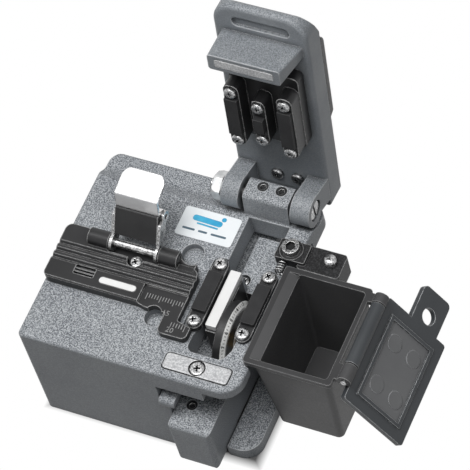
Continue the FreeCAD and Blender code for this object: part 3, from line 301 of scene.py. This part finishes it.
def makeFinish(name, recipe):
    mat = bpy.data.materials.new(name)
    mat.use_nodes = True
    tree = mat.node_tree
    shader = tree.nodes["Principled BSDF"]
    where = tree.nodes.new("ShaderNodeTexCoord")
    coords = where.outputs["Object"]
    shader.inputs["Metallic"].default_value = recipe.get("metal", 0.0)
    shader.inputs["Specular IOR Level"].default_value = recipe.get("shine", 0.5)
    cloud = noise(tree, coords, recipe["cloudScale"], surface["cloudDetail"])
    cloud = mapRange(tree, cloud, *surface["cloudRange"])
    colour = mixColour(tree, cloud, recipe["colour"], recipe["second"])
    grain = noise(tree, coords, recipe["grainScale"], surface["grainDetail"])
    if "speckDark" in recipe:
        # the paint's grain shows most on faces that look up
        split = tree.nodes.new("ShaderNodeSeparateXYZ")
        tree.links.new(where.outputs["Normal"], split.inputs[0])
        facing = mapRange(tree, split.outputs[2], *surface["facingRange"],
                          recipe.get("sideSpeck", 1.0), 1.0)
        for shade, span in (("speckLight", "lightRange"), ("speckDark", "darkRange")):
            specks = mapRange(tree, grain, *surface[span], 0.0, recipe["speckAmount"])
            colour = mixColour(tree, times(tree, specks, facing), colour, recipe[shade])
    edges, rounded = edgeMask(tree, recipe.get("edgeRadius", 0.00025))
    openness = crevices(tree, recipe.get("creviceReach", 0.0012))
    # painted edge highlight: the edge colour laid on sharp edges in the open, its strength varied
    # by noise; where that colour is darker than the finish it is a painted dark outline
    paintedEdgeStrength = noise(tree, coords, recipe["cloudScale"] * surface["paintedEdgeScale"])
    paintedEdgeStrength = mapRange(tree, paintedEdgeStrength, *surface["paintedEdgeRange"], surface["leastPaintedEdge"],
                    recipe.get("paintedEdgeAmount", 0.6))
    inTheOpen = mapRange(tree, openness, *surface["openRange"])
    # painted shade: in corners and gaps, as the ambient occlusion finds them, the colour goes
    # towards a near black
    paintedShade = mapRange(tree, openness, *surface["paintedShadeRange"], recipe.get("paintedCreviceShade", 0.55), 0.0)
    colour = mixColour(tree, paintedShade, colour, surface["paintedShade"])
    paintedEdge = times(tree, times(tree, edges, paintedEdgeStrength), inTheOpen)
    colour = mixColour(tree, paintedEdge, colour, recipe["edge"])
    tree.links.new(colour, shader.inputs["Base Color"])
    rough = mapRange(tree, grain, *surface["grainRange"], recipe["rough"] - surface["roughSpread"],
                     recipe["rough"] + surface["roughSpread"])
    tree.links.new(rough, shader.inputs["Roughness"])
    bump = tree.nodes.new("ShaderNodeBump")
    bump.inputs["Strength"].default_value = recipe["bump"]
    bump.inputs["Distance"].default_value = surface["bumpHeight"]
    tree.links.new(noise(tree, coords, recipe["bumpScale"]), bump.inputs["Height"])
    tree.links.new(rounded, bump.inputs["Normal"])
    tree.links.new(bump.outputs[0], shader.inputs["Normal"])
    return mat


# each finish's edge colour is its painted edge highlight; where it is darker than the finish, as
# on the tab, the nut and the label, it is a painted dark outline. Its crevice value sets the
# strength of the painted shade in corners
finishes = {
    "hammerGrey": {
        "colour": srgb(149, 153, 157), "second": srgb(138, 142, 147), "edge": srgb(222, 224, 226),
        "speckLight": srgb(208, 211, 214), "speckDark": srgb(76, 79, 84), "speckAmount": 0.85,
        "sideSpeck": 0.3, "cloudScale": 70.0, "grainScale": 3500.0, "rough": 0.45, "metal": 0.0,
        "shine": 0.2, "bump": 0.3, "bumpScale": 2200.0, "edgeRadius": 0.00055, "paintedEdgeAmount": 0.9,
        "creviceReach": 0.0022, "paintedCreviceShade": 0.6,
    },
    "lidGrey": {
        "colour": srgb(148, 152, 156), "second": srgb(130, 135, 140), "edge": srgb(226, 228, 230),
        "speckLight": srgb(180, 183, 186), "speckDark": srgb(80, 83, 88), "speckAmount": 0.6,
        "sideSpeck": 0.25, "cloudScale": 70.0, "grainScale": 3500.0, "rough": 0.42, "metal": 0.0,
        "shine": 0.25, "bump": 0.3, "bumpScale": 2200.0, "edgeRadius": 0.00055, "paintedEdgeAmount": 0.9,
        "creviceReach": 0.0022, "paintedCreviceShade": 0.8,
    },
    "bracketBlack": {
        "colour": srgb(30, 30, 31), "second": srgb(24, 24, 25), "edge": srgb(200, 200, 200),
        "speckLight": srgb(70, 70, 72), "speckDark": srgb(12, 12, 13), "speckAmount": 0.5,
        "cloudScale": 120.0, "grainScale": 2600.0, "rough": 0.5, "shine": 0.25, "bump": 0.2,
        "bumpScale": 2000.0, "edgeRadius": 0.0004, "paintedEdgeAmount": 1.0,
    },
    "anodisedBlack": {
        "colour": srgb(43, 43, 44), "second": srgb(34, 34, 35), "edge": srgb(232, 232, 232),
        "cloudScale": 150.0, "grainScale": 2600.0, "rough": 0.4, "shine": 0.3, "bump": 0.12,
        "bumpScale": 2800.0, "edgeRadius": 0.00045, "paintedEdgeAmount": 1.0, "paintedCreviceShade": 0.85,
    },
    "mouldedBlack": {
        "colour": srgb(74, 74, 75), "second": srgb(66, 66, 67), "edge": srgb(195, 195, 195),
        "cloudScale": 60.0, "grainScale": 2400.0, "rough": 0.5, "shine": 0.3, "bump": 0.15,
        "bumpScale": 3000.0, "edgeRadius": 0.0004, "paintedEdgeAmount": 0.9, "paintedCreviceShade": 0.4,
    },
    "mouldedRim": {
        "colour": srgb(50, 50, 51), "second": srgb(43, 43, 44), "edge": srgb(170, 170, 170),
        "cloudScale": 60.0, "grainScale": 2400.0, "rough": 0.5, "shine": 0.3, "bump": 0.15,
        "bumpScale": 3000.0, "edgeRadius": 0.0004, "paintedEdgeAmount": 0.9, "paintedCreviceShade": 0.4,
    },
    "mouldedSlate": {
        "colour": srgb(66, 69, 72), "second": srgb(58, 61, 64), "edge": srgb(214, 216, 218),
        "cloudScale": 60.0, "grainScale": 2400.0, "rough": 0.42, "shine": 0.35, "bump": 0.12,
        "bumpScale": 3000.0, "edgeRadius": 0.0004, "paintedEdgeAmount": 0.9, "paintedCreviceShade": 0.9,
        "creviceReach": 0.0016,
    },
    "slatePanel": {
        "colour": srgb(112, 113, 114), "second": srgb(100, 101, 103), "edge": srgb(206, 208, 210),
        "cloudScale": 60.0, "grainScale": 2400.0, "rough": 0.42, "shine": 0.35, "bump": 0.12,
        "bumpScale": 3000.0, "edgeRadius": 0.0003, "paintedEdgeAmount": 0.8,
    },
    "padRubber": {
        "colour": srgb(52, 52, 53), "second": srgb(44, 44, 45), "edge": srgb(120, 120, 120),
        "cloudScale": 200.0, "grainScale": 3000.0, "rough": 0.7, "shine": 0.2, "bump": 0.2,
        "bumpScale": 3500.0, "edgeRadius": 0.00025, "paintedEdgeAmount": 0.6,
    },
    "soleRubber": {
        "colour": srgb(36, 36, 36), "second": srgb(28, 28, 29), "edge": srgb(60, 60, 60),
        "cloudScale": 100.0, "grainScale": 2000.0, "rough": 0.85, "shine": 0.2, "bump": 0.3,
        "bumpScale": 1500.0,
    },
    "brightSteel": {
        "colour": srgb(170, 170, 170), "second": srgb(142, 143, 144), "edge": srgb(245, 245, 245),
        "speckLight": srgb(225, 225, 225), "speckDark": srgb(84, 84, 85), "speckAmount": 0.6,
        "cloudScale": 420.0, "grainScale": 2200.0, "rough": 0.32, "metal": 1.0, "bump": 0.3,
        "bumpScale": 1800.0, "edgeRadius": 0.00022, "paintedEdgeAmount": 1.0, "paintedCreviceShade": 0.9,
        "creviceReach": 0.0006,
    },
    "nutSteel": {
        "colour": srgb(232, 233, 233), "second": srgb(196, 198, 199), "edge": srgb(70, 71, 72),
        "cloudScale": 420.0, "grainScale": 2200.0, "rough": 0.4, "metal": 0.5, "bump": 0.2,
        "bumpScale": 1800.0, "edgeRadius": 0.0003, "paintedEdgeAmount": 1.0, "paintedCreviceShade": 0.95,
        "creviceReach": 0.0014,
    },
    # painted shade for the screws' cross recesses and the bracket screw's socket
    "recessPaintedShade": {
        "colour": srgb(44, 44, 45), "second": srgb(26, 26, 27), "edge": srgb(190, 190, 190),
        "cloudScale": 700.0, "grainScale": 2600.0, "rough": 0.5, "metal": 0.6, "bump": 0.1,
        "bumpScale": 3000.0, "edgeRadius": 0.00012, "paintedEdgeAmount": 0.7,
    },
    "oxidisedSteel": {
        "colour": srgb(96, 97, 98), "second": srgb(70, 71, 72), "edge": srgb(225, 225, 225),
        "cloudScale": 300.0, "grainScale": 2600.0, "rough": 0.36, "metal": 0.9, "bump": 0.15,
        "bumpScale": 2400.0, "edgeRadius": 0.0003, "paintedEdgeAmount": 1.0, "paintedCreviceShade": 0.85,
        "creviceReach": 0.0008,
    },
    "groundCarbide": {
        "colour": srgb(250, 250, 248), "second": srgb(226, 226, 224), "edge": srgb(252, 252, 250),
        "cloudScale": 300.0, "grainScale": 2600.0, "rough": 0.35, "metal": 0.1, "bump": 0.1,
        "bumpScale": 2600.0, "edgeRadius": 0.00015, "paintedEdgeAmount": 0.8,
    },
    "turnedBrass": {
        "colour": srgb(186, 156, 98), "second": srgb(140, 112, 66), "edge": srgb(240, 222, 178),
        "cloudScale": 300.0, "grainScale": 2600.0, "rough": 0.3, "metal": 1.0, "bump": 0.15,
        "bumpScale": 2600.0, "edgeRadius": 0.0003, "paintedEdgeAmount": 1.0, "paintedCreviceShade": 0.8,
        "creviceReach": 0.0008,
    },
    "mirrorTab": {
        "colour": srgb(252, 252, 252), "second": srgb(249, 249, 250), "edge": srgb(66, 66, 66),
        "cloudScale": 40.0, "grainScale": 1500.0, "rough": 0.2, "metal": 0.5, "bump": 0.02,
        "bumpScale": 1500.0, "edgeRadius": 0.0004, "paintedEdgeAmount": 1.0,
    },
    "magnetSilver": {
        "colour": srgb(192, 193, 194), "second": srgb(168, 169, 171), "edge": srgb(244, 244, 244),
        "speckLight": srgb(226, 226, 226), "speckDark": srgb(132, 133, 135), "speckAmount": 0.4,
        "cloudScale": 160.0, "grainScale": 2200.0, "rough": 0.45, "metal": 0.4, "bump": 0.2,
        "bumpScale": 1600.0, "edgeRadius": 0.0004, "paintedEdgeAmount": 1.0, "paintedCreviceShade": 0.9,
        "creviceReach": 0.0008,
    },
    "whiteGloss": {
        "colour": srgb(248, 248, 247), "second": srgb(238, 238, 237), "edge": srgb(250, 250, 250),
        "cloudScale": 120.0, "grainScale": 2200.0, "rough": 0.35, "shine": 0.3, "bump": 0.05,
        "bumpScale": 2500.0, "edgeRadius": 0.0003, "paintedEdgeAmount": 0.6,
    },
    "printedWhite": {
        "colour": srgb(247, 250, 252), "second": srgb(242, 247, 250), "edge": srgb(150, 156, 160),
        "cloudScale": 90.0, "grainScale": 2200.0, "rough": 0.4, "shine": 0.3, "bump": 0.04,
        "bumpScale": 2500.0, "edgeRadius": 0.00025, "paintedEdgeAmount": 0.7,
    },
    "cyanInk": {
        "colour": srgb(78, 188, 224), "second": srgb(44, 158, 206), "edge": srgb(150, 215, 235),
        "cloudScale": 260.0, "grainScale": 2200.0, "rough": 0.35, "bump": 0.03,
        "bumpScale": 2500.0,
    },
    "greyInk": {
        "colour": srgb(84, 108, 122), "second": srgb(70, 96, 112), "edge": srgb(120, 140, 150),
        "cloudScale": 260.0, "grainScale": 2200.0, "rough": 0.4, "bump": 0.03, "bumpScale": 2500.0,
    },
    "markGrey": {
        "colour": srgb(178, 178, 178), "second": srgb(132, 132, 132), "edge": srgb(200, 200, 200),
        "cloudScale": 500.0, "grainScale": 2200.0, "rough": 0.5, "bump": 0.05, "bumpScale": 2500.0,
    },
}
looks = {name: makeFinish(name, recipe) for name, recipe in finishes.items()}

nodeFinish = {
    "body_casting": "hammerGrey", "carriage_block": "hammerGrey", "lid_shell": "lidGrey",
    "rubber_sole": "soleRubber", "post_set_screws": "oxidisedSteel",
    "hinge_bolt": "brightSteel", "hinge_washer": "nutSteel", "hinge_nut": "nutSteel",
    "guide_plate": "anodisedBlack", "guide_insert": "whiteGloss", "guide_screw": "brightSteel",
    "clamp_pin": "brightSteel", "left_pad_holder": "anodisedBlack",
    "right_pad_holder": "anodisedBlack", "left_pad": "padRubber", "right_pad": "padRubber",
    "pad_screws": "brightSteel", "magnet_plate": "magnetSilver", "magnet_screw": "magnetSilver",
    "label_plate": "printedWhite", "bin_box": "mouldedBlack", "bin_pin": "brightSteel",
    "bin_bracket": "bracketBlack", "bracket_screw": "brightSteel", "latch_stud": "brightSteel",
    "bracket_spring": "brightSteel", "carriage_strip": "whiteGloss",
    "nose_screw": "oxidisedSteel", "floor_screws": "brightSteel", "blade_screw": "turnedBrass",
    "blade_disc": "groundCarbide", "blade_wheel": "anodisedBlack",
    "clamp_lever": "anodisedBlack", "clamp_tab": "mirrorTab", "clamp_cheeks": "brightSteel",
    "lid_strike": "magnetSilver", "lid_cover": "anodisedBlack", "lid_frame": "anodisedBlack",
    "lid_left_pad": "padRubber", "lid_right_pad": "padRubber", "lid_anvil": "padRubber",
    "lid_screws": "brightSteel", "bin_lid": "mouldedSlate",
}
for name, look in nodeFinish.items():
    mesh = nodes[name].data
    mesh.materials.clear()
    mesh.materials.append(looks[look])
print("finishes on", len(nodeFinish), "nodes")


# pieces

welded = 1e-6  # vertices nearer than this are one
creaseAngle = math.radians(32)
headFace = 0.02  # in millimetres, how thick a screw's outer face counts
scene = bpy.context.scene


def nodeMesh(node):
    # a node's loose triangles, merged into one closed mesh
    bm = bmesh.new()
    bm.from_mesh(nodes[node].data)
    bmesh.ops.remove_doubles(bm, verts=bm.verts[:], dist=welded)
    return bm


def creased(bm):
    for face in bm.faces:
        face.smooth = True
    for edge in bm.edges:
        edge.smooth = len(edge.link_faces) == 2 and edge.calc_face_angle(0.0) < creaseAngle


def meshOf(obj):
    # the object as its modifiers or its curve leave it
    return bpy.data.meshes.new_from_object(
        obj.evaluated_get(bpy.context.evaluated_depsgraph_get()))


def addPiece(name, bm, body, finishNames, hides=()):
    creased(bm)
    mesh = bpy.data.meshes.new(name)
    bm.to_mesh(mesh)
    bm.free()
    for finish in finishNames:
        mesh.materials.append(looks[finish])
    obj = bpy.data.objects.new(name, mesh)
    scene.collection.objects.link(obj)
    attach(obj, body)
    if hides:
        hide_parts(*hides)
    return obj


def standFor(name, bm, node, finishNames):
    return addPiece(name, bm, body_of(nodes[node])[0], finishNames, (node,))


def cutAway(bm, cutter, finishNames):
    # takes one closed mesh out of another; the cut faces get the last finish
    objects = []
    for part, finishRow in ((bm, finishNames[:1]), (cutter, finishNames[-1:])):
        mesh = bpy.data.meshes.new("blank")
        part.to_mesh(mesh)
        part.free()
        for finish in finishRow:
            mesh.materials.append(looks[finish])
        obj = bpy.data.objects.new("blank", mesh)
        scene.collection.objects.link(obj)
        objects.append(obj)
    blank, tool = objects
    cut = blank.modifiers.new("cut", "BOOLEAN")
    cut.operation = "DIFFERENCE"
    cut.solver = "EXACT"
    cut.material_mode = "TRANSFER"
    cut.object = tool
    result = bmesh.new()
    result.from_mesh(meshOf(blank))
    for obj in objects:
        bpy.data.objects.remove(obj)
    bmesh.ops.remove_doubles(result, verts=result.verts[:], dist=welded)
    return result


def islandsOf(bm):
    seen, groups = set(), []
    for first in bm.verts:
        if first in seen:
            continue
        seen.add(first)
        group, stack = [], [first]
        while stack:
            vert = stack.pop()
            group.append(vert)
            for edge in vert.link_edges:
                other = edge.other_vert(vert)
                if other not in seen:
                    seen.add(other)
                    stack.append(other)
        groups.append(group)
    return groups


def headCentres(bm, axis):
    # middle of each screw's outer face, from left to right
    centres = []
    for group in islandsOf(bm):
        top = max(vert.co.dot(axis) for vert in group)
        face = [vert.co for vert in group if vert.co.dot(axis) > top - headFace * mm]
        centres.append(sum(face, Vector()) / len(face))
    return sorted(centres, key=lambda c: (round(c.x, 4), round(c.y, 4), round(c.z, 4)))


# cross recesses of the screws; their cut faces take a dark finish, painted shade in the hollows

crossRecess = {"width": 0.62, "reach": 2.3, "depth": 0.8, "narrow": 0.45}
screwSets = {
    "padScrews": {"node": "pad_screws", "turns": (20, 62, 8, 48), "size": 1.0},
    "guideScrew": {"node": "guide_screw", "turns": (35,), "size": 1.0},
    "magnetScrew": {"node": "magnet_screw", "turns": (15,), "size": 1.1},
    "floorScrews": {"node": "floor_screws", "turns": (40, 10), "size": 0.85},
    "lidScrews": {"node": "lid_screws", "turns": (12, 50, 33, 70, 5, 27, 58, 80), "size": 0.95,
                  "axis": (0, -0.990, 0.139)},
}


def crossBlade(c, size):
    bm = bmesh.new()
    bmesh.ops.create_cube(bm, size=1.0)
    bmesh.ops.scale(bm, vec=(c["width"], c["width"], 2 * c["depth"]), verts=bm.verts[:])
    sides = [face for face in bm.faces if abs(face.normal.z) < 0.5]
    arms = bmesh.ops.extrude_discrete_faces(bm, faces=sides)["faces"]
    for arm in arms:
        bmesh.ops.translate(bm, vec=arm.normal * (c["reach"] - c["width"]) / 2, verts=arm.verts[:])
    lower = [vert for vert in bm.verts if vert.co.z < 0]
    bmesh.ops.scale(bm, vec=(c["narrow"], c["narrow"], 1), verts=lower)
    bmesh.ops.scale(bm, vec=(size * mm, size * mm, mm), verts=bm.verts[:])
    return bm


def recessedScrews(name, s):
    axis = Vector(s.get("axis", (0, 0, 1))).normalized()
    bm = nodeMesh(s["node"])
    tools = bmesh.new()
    for centre, turn in zip(headCentres(bm, axis), s["turns"]):
        blade = crossBlade(crossRecess, s["size"])
        stand = Vector((0, 0, 1)).rotation_difference(axis).to_matrix().to_4x4()
        spun = Matrix.Translation(centre) @ stand @ Matrix.Rotation(math.radians(turn), 4, "Z")
        bmesh.ops.transform(blade, matrix=spun, verts=blade.verts[:])
        mesh = bpy.data.meshes.new("blade")
        blade.to_mesh(mesh)
        blade.free()
        tools.from_mesh(mesh)
        bpy.data.meshes.remove(mesh)
    cut = cutAway(bm, tools, ("brightSteel", "recessPaintedShade"))
    standFor(name, cut, s["node"], ("brightSteel", "recessPaintedShade"))


for name, s in screwSets.items():
    recessedScrews(name, s)
print("cross recesses cut in", len(screwSets), "groups of screws")


# flat marks: bars and numerals laid on a face

markThickness = 0.03
numeralSteps = 2
barCorners = {"segments": 6, "upright": 0.9}


def addSlab(bm, length, width):
    made = bmesh.ops.create_cube(bm, size=1.0)["verts"]
    bmesh.ops.scale(bm, vec=Vector((length, width, markThickness)) * mm, verts=made)
    return made


def addBar(bm, centre, length, width, rounding=0.0, turn=0.0):
    made = addSlab(bm, length, width)
    if rounding:
        edges = {edge for vert in made for edge in vert.link_edges}
        upright = {edge for edge in edges if barCorners["upright"] < abs(
            (edge.verts[0].co - edge.verts[1].co).normalized().z)}
        rounded = bmesh.ops.bevel(
            bm, geom=sorted(upright, key=lambda edge: edge.index), offset=rounding * mm,
            affect="EDGES", segments=barCorners["segments"], profile=0.5, material=-1)["faces"]
        made = list({vert for face in rounded for vert in face.verts}
                    | {vert for vert in made if vert.is_valid})
    place = Matrix.Translation(centre) @ Matrix.Rotation(math.radians(turn), 4, "Z")
    bmesh.ops.transform(bm, matrix=place, verts=made)


def addNumeral(bm, words, size, matrix, weight=0.0):
    curve = bpy.data.curves.new("numeral", "FONT")
    curve.body = words
    curve.size = size * mm
    curve.offset = weight * mm
    curve.resolution_u = numeralSteps
    curve.extrude = markThickness * mm / 2
    curve.align_x = "CENTER"
    curve.align_y = "CENTER"
    holder = bpy.data.objects.new("numeral", curve)
    scene.collection.objects.link(holder)
    mesh = meshOf(holder)
    bpy.data.objects.remove(holder)
    mesh.transform(matrix)
    bm.from_mesh(mesh)
    bpy.data.meshes.remove(mesh)


def boxOf(node):
    low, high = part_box(node)
    return Vector(low), Vector(high)


# graduations on the guide plate's lower part

graduation = {
    "rows": ((29.6, 14, 20.9), (39.3, 6, 14.6)),  # first stroke, how many, back end of the strokes
    "pitch": 0.78, "long": 1.9, "short": 1.3, "everyLong": 5, "width": 0.22,
    "top": 2.2, "numeral": 2.2, "numerals": (("15", 36.6, 16.6), ("20", 39.6, 12.2)),
}


def onPlate(x, y, z):
    # a place in millimetres from the body's front left corner, at the height of the deck
    low = boxOf("body_casting")[0]
    deck = boxOf("label_plate")[0].z
    return Vector((low.x + x * mm, low.y + y * mm, deck + z * mm))


def makeGraduations(g):
    bm = bmesh.new()
    lift = g["top"] + markThickness / 2
    for first, count, back in g["rows"]:
        for i in range(count):
            length = g["long"] if i % g["everyLong"] == 0 else g["short"]
            centre = onPlate(first + i * g["pitch"], back - length / 2, lift)
            addBar(bm, centre, g["width"], length)
    for words, x, y in g["numerals"]:
        addNumeral(bm, words, g["numeral"], Matrix.Translation(onPlate(x, y, lift)))
    addPiece("graduations", bm, "body", ("markGrey",))


makeGraduations(graduation)
print("graduations laid on the guide plate")


# printed plate: plain coloured bars

labelPrint = {
    "bars": (  # finish, place, length, width, rounding and turn
        ("cyanInk", 7.4, 6.1, 8.6, 1.75, 0.8, -2.0), ("cyanInk", 11.6, 7.6, 1.3, 1.3, 0.6, 0.0),
        ("cyanInk", 7.9, 4.6, 6.2, 0.5, 0.22, -2.0),
        ("greyInk", 3.3, 2.5, 3.6, 0.6, 0.25, 0.0), ("greyInk", 7.4, 2.5, 2.6, 0.6, 0.25, 0.0),
        ("greyInk", 12.0, 2.5, 4.4, 0.6, 0.25, 0.0),
    ),
}


def makeLabelPrint(p):
    low, high = boxOf("label_plate")
    for ink in ("cyanInk", "greyInk"):
        bm = bmesh.new()
        for finish, x, y, length, width, rounding, turn in p["bars"]:
            if finish == ink:
                centre = Vector((low.x + x * mm, low.y + y * mm, high.z + markThickness * mm / 2))
                addBar(bm, centre, length, width, rounding, turn)
        addPiece(ink.replace("Ink", "Print"), bm, "body", (ink,))


makeLabelPrint(labelPrint)
print("label printed")


# blade: bevelled ring with numerals and strokes, dark plate inside it

bladeRing = {"bevelRadius": 9.0, "bevelBand": 0.6, "edgeBand": 0.1, "edgeLift": 0.1,
             "count": 16, "numeral": 1.35, "weight": 0.06,
             "strokes": 3, "strokeLength": 0.55, "strokeWidth": 0.16,
             "plateRadius": 7.9, "plateThickness": 0.06, "plateDepth": 0.2, "plateSides": 96}


def makeBladeRing(r):
    low, high = boxOf("blade_disc")
    centre = Vector((high.x, (low.y + high.y) / 2, (low.z + high.z) / 2))
    rim = (high.z - low.z) / 2
    bm = nodeMesh("blade_disc")
    for vert in bm.verts:
        away = math.hypot(vert.co.y - centre.y, vert.co.z - centre.z)
        if away > rim - r["edgeBand"] * mm:
            vert.co.x = low.x + r["edgeLift"] * mm
        elif vert.co.x > high.x - r["edgeBand"] * mm and away > rim - r["bevelBand"] * mm:
            inward = r["bevelRadius"] * mm / away
            for axis in (1, 2):
                vert.co[axis] = centre[axis] + (vert.co[axis] - centre[axis]) * inward
    standFor("bladeDisc", bm, "blade_disc", ("groundCarbide",))
    drop, run = high.x - low.x - r["edgeLift"] * mm, rim - r["bevelRadius"] * mm
    slope = math.atan2(drop, run)
    bm = bmesh.new()
    each = r["strokes"] + 1  # a numeral and the strokes after it
    for i in range(r["count"] * each):
        angle = 2 * math.pi * i / (r["count"] * each)
        out = Vector((0, math.cos(angle), math.sin(angle)))
        right = Vector((0, math.sin(angle), -math.cos(angle)))
        along = out * math.cos(slope) - Vector((math.sin(slope), 0, 0))
        normal = out * math.sin(slope) + Vector((math.cos(slope), 0, 0))
        face = Matrix((right, along, normal)).transposed().to_4x4()
        middle = centre + out * r["bevelRadius"] * mm + along * math.hypot(drop, run) / 2
        place = Matrix.Translation(middle + normal * markThickness * mm / 2) @ face
        if i % each == 0:
            addNumeral(bm, str(i // each + 1), r["numeral"], place, r["weight"])
        else:
            bmesh.ops.transform(bm, matrix=place,
                                verts=addSlab(bm, r["strokeWidth"], r["strokeLength"]))
    addPiece("bladeRingMarks", bm, "blade", ("anodisedBlack",))
    bm = bmesh.new()
    bmesh.ops.create_circle(bm, cap_ends=True, segments=r["plateSides"],
                            radius=r["plateRadius"] * mm)
    raised = bmesh.ops.extrude_face_region(bm, geom=bm.faces[:])["geom"]
    raised = [part for part in raised if isinstance(part, bmesh.types.BMVert)]
    bmesh.ops.translate(bm, vec=(0, 0, r["plateThickness"] * mm), verts=raised)
    bmesh.ops.rotate(bm, verts=bm.verts[:], cent=(0, 0, 0),
                     matrix=Matrix.Rotation(math.pi / 2, 3, "Y"))
    depth = Vector((r["plateDepth"] * mm, 0, 0))
    bmesh.ops.translate(bm, vec=centre - depth, verts=bm.verts[:])
    bmesh.ops.recalc_face_normals(bm, faces=bm.faces[:])
    addPiece("bladeFace", bm, "blade", ("anodisedBlack",))


makeBladeRing(bladeRing)
print("blade ring numbered")


# bin lid: the panel inside its rib is in a paler grain

binLid = {"leastUp": 0.3, "facing": 0.999, "levelStep": 0.05}


def makeBinLid(b):
    bm = nodeMesh("bin_lid")
    tilted = [face for face in bm.faces if face.normal.z > b["leastUp"]]
    up = max(tilted, key=lambda face: round(face.calc_area(), 10)).normal.copy()
    axes = (up.cross(Vector((0, 1, 0))), Vector((0, 1, 0)))

    def levelOf(face):
        return round(face.calc_center_median().dot(up) / (b["levelStep"] * mm))

    flat = [face for face in bm.faces if face.normal.dot(up) > b["facing"]]
    rib = max(levelOf(face) for face in flat)
    corners = [vert.co for face in flat if levelOf(face) == rib for vert in face.verts]
    spans = [(min(c.dot(axis) for c in corners), max(c.dot(axis) for c in corners))
             for axis in axes]
    for face in flat:
        middle = face.calc_center_median()
        inside = all(low < middle.dot(axis) < high for (low, high), axis in zip(spans, axes))
        if inside and levelOf(face) < rib:
            face.material_index = 1
    standFor("binLid", bm, "bin_lid", ("mouldedSlate", "slatePanel"))


makeBinLid(binLid)


# bin: the same box, its rim's upward faces in a darker copy of the moulded finish

binRim = {"facing": 0.99, "band": 0.4}


def makeBinBox(b):
    bm = nodeMesh("bin_box")
    low, high = boxOf("bin_box")
    upper = [face for face in bm.faces if face.normal.z > b["facing"]
             and face.calc_center_median().z > (low.z + high.z) / 2]
    rim = max(upper, key=lambda face: face.calc_area()).calc_center_median().z
    for face in upper:
        if abs(face.calc_center_median().z - rim) < b["band"] * mm:
            face.material_index = 1
    standFor("binBox", bm, "bin_box", ("mouldedBlack", "mouldedRim"))


makeBinBox(binRim)
print("bin and its lid dressed")


# carriage: the arm above its floor is finished black, painted shade for the dark gap beside the
# blade wheel; the rest keeps its grey paint

carriagePaintedShade = {"floor": 26.4, "front": -19.0, "back": 2.8}


def makeCarriage(c):
    bm = nodeMesh("carriage_block")
    for along, place in (((0, 0, 1), c["floor"]), ((0, 1, 0), c["back"])):
        parts = bm.verts[:] + bm.edges[:] + bm.faces[:]
        bmesh.ops.bisect_plane(bm, geom=parts, plane_co=Vector(along) * place * mm, plane_no=along)
    for face in bm.faces:
        middle = face.calc_center_median()
        between = c["front"] * mm < middle.y < c["back"] * mm + welded
        # painted shade: these faces take the black finish
        if between and middle.z > c["floor"] * mm:
            face.material_index = 1
    standFor("carriageBlock", bm, "carriage_block", ("hammerGrey", "anodisedBlack"))


makeCarriage(carriagePaintedShade)


# bracket screw: black washer face, bright head, and a dark socket whose finish is painted shade

bracketHead = {"headRadius": 2.35, "socketRadius": 1.75, "rimDrop": 0.12}


def makeBracketScrew(b):
    bm = nodeMesh("bracket_screw")
    low, high = boxOf("bracket_screw")
    middle = (low + high) / 2
    for face in bm.faces:
        centre = face.calc_center_median()
        reach = math.hypot(centre.x - middle.x, centre.y - middle.y)
        if reach > b["headRadius"] * mm:
            face.material_index = 1
        elif reach < b["socketRadius"] * mm and centre.z < high.z - b["rimDrop"] * mm:
            face.material_index = 2
    standFor("bracketScrew", bm, "bracket_screw", ("brightSteel", "bracketBlack", "recessPaintedShade"))


makeBracketScrew(bracketHead)


# guide plate: short right knuckle with a thumb scoop beside it

knuckleEnd = {"x": 34.3, "front": 29.2, "top": 3.02, "past": 12.0,
              "scoopX": 36.8, "scoopY": 34.9, "scoopRadius": 3.2, "scoopSides": 64,
              "pinOut": 0.25, "pinRoom": 1.0}


def boxBlank(low, high):
    bm = bmesh.new()
    bmesh.ops.create_cube(bm, size=1.0)
    bmesh.ops.scale(bm, vec=high - low, verts=bm.verts[:])
    bmesh.ops.translate(bm, vec=(low + high) / 2, verts=bm.verts[:])
    return bm


def makeGuidePlate(k):
    high = onPlate(k["x"] + k["past"], k["front"] + k["past"], k["past"])
    bm = cutAway(nodeMesh("guide_plate"), boxBlank(onPlate(k["x"], k["front"], k["top"]), high),
                 ("anodisedBlack",))
    scoop = bmesh.new()
    radius = k["scoopRadius"] * mm
    bmesh.ops.create_cone(scoop, cap_ends=True, segments=k["scoopSides"], radius1=radius,
                          radius2=radius, depth=2 * k["past"] * mm)
    bmesh.ops.translate(scoop, vec=onPlate(k["scoopX"], k["scoopY"], 0), verts=scoop.verts[:])
    bm = cutAway(bm, scoop, ("anodisedBlack",))
    standFor("guidePlate", bm, "guide_plate", ("anodisedBlack",))
    low = onPlate(k["x"] - k["pinOut"], k["front"] - k["pinRoom"], 0)
    pin = cutAway(nodeMesh("clamp_pin"), boxBlank(low, high), ("brightSteel",))
    standFor("leverPin", pin, "clamp_pin", ("brightSteel",))


makeGuidePlate(knuckleEnd)
print("carriage, bracket screw and guide plate dressed")


# end

print("scene ready")
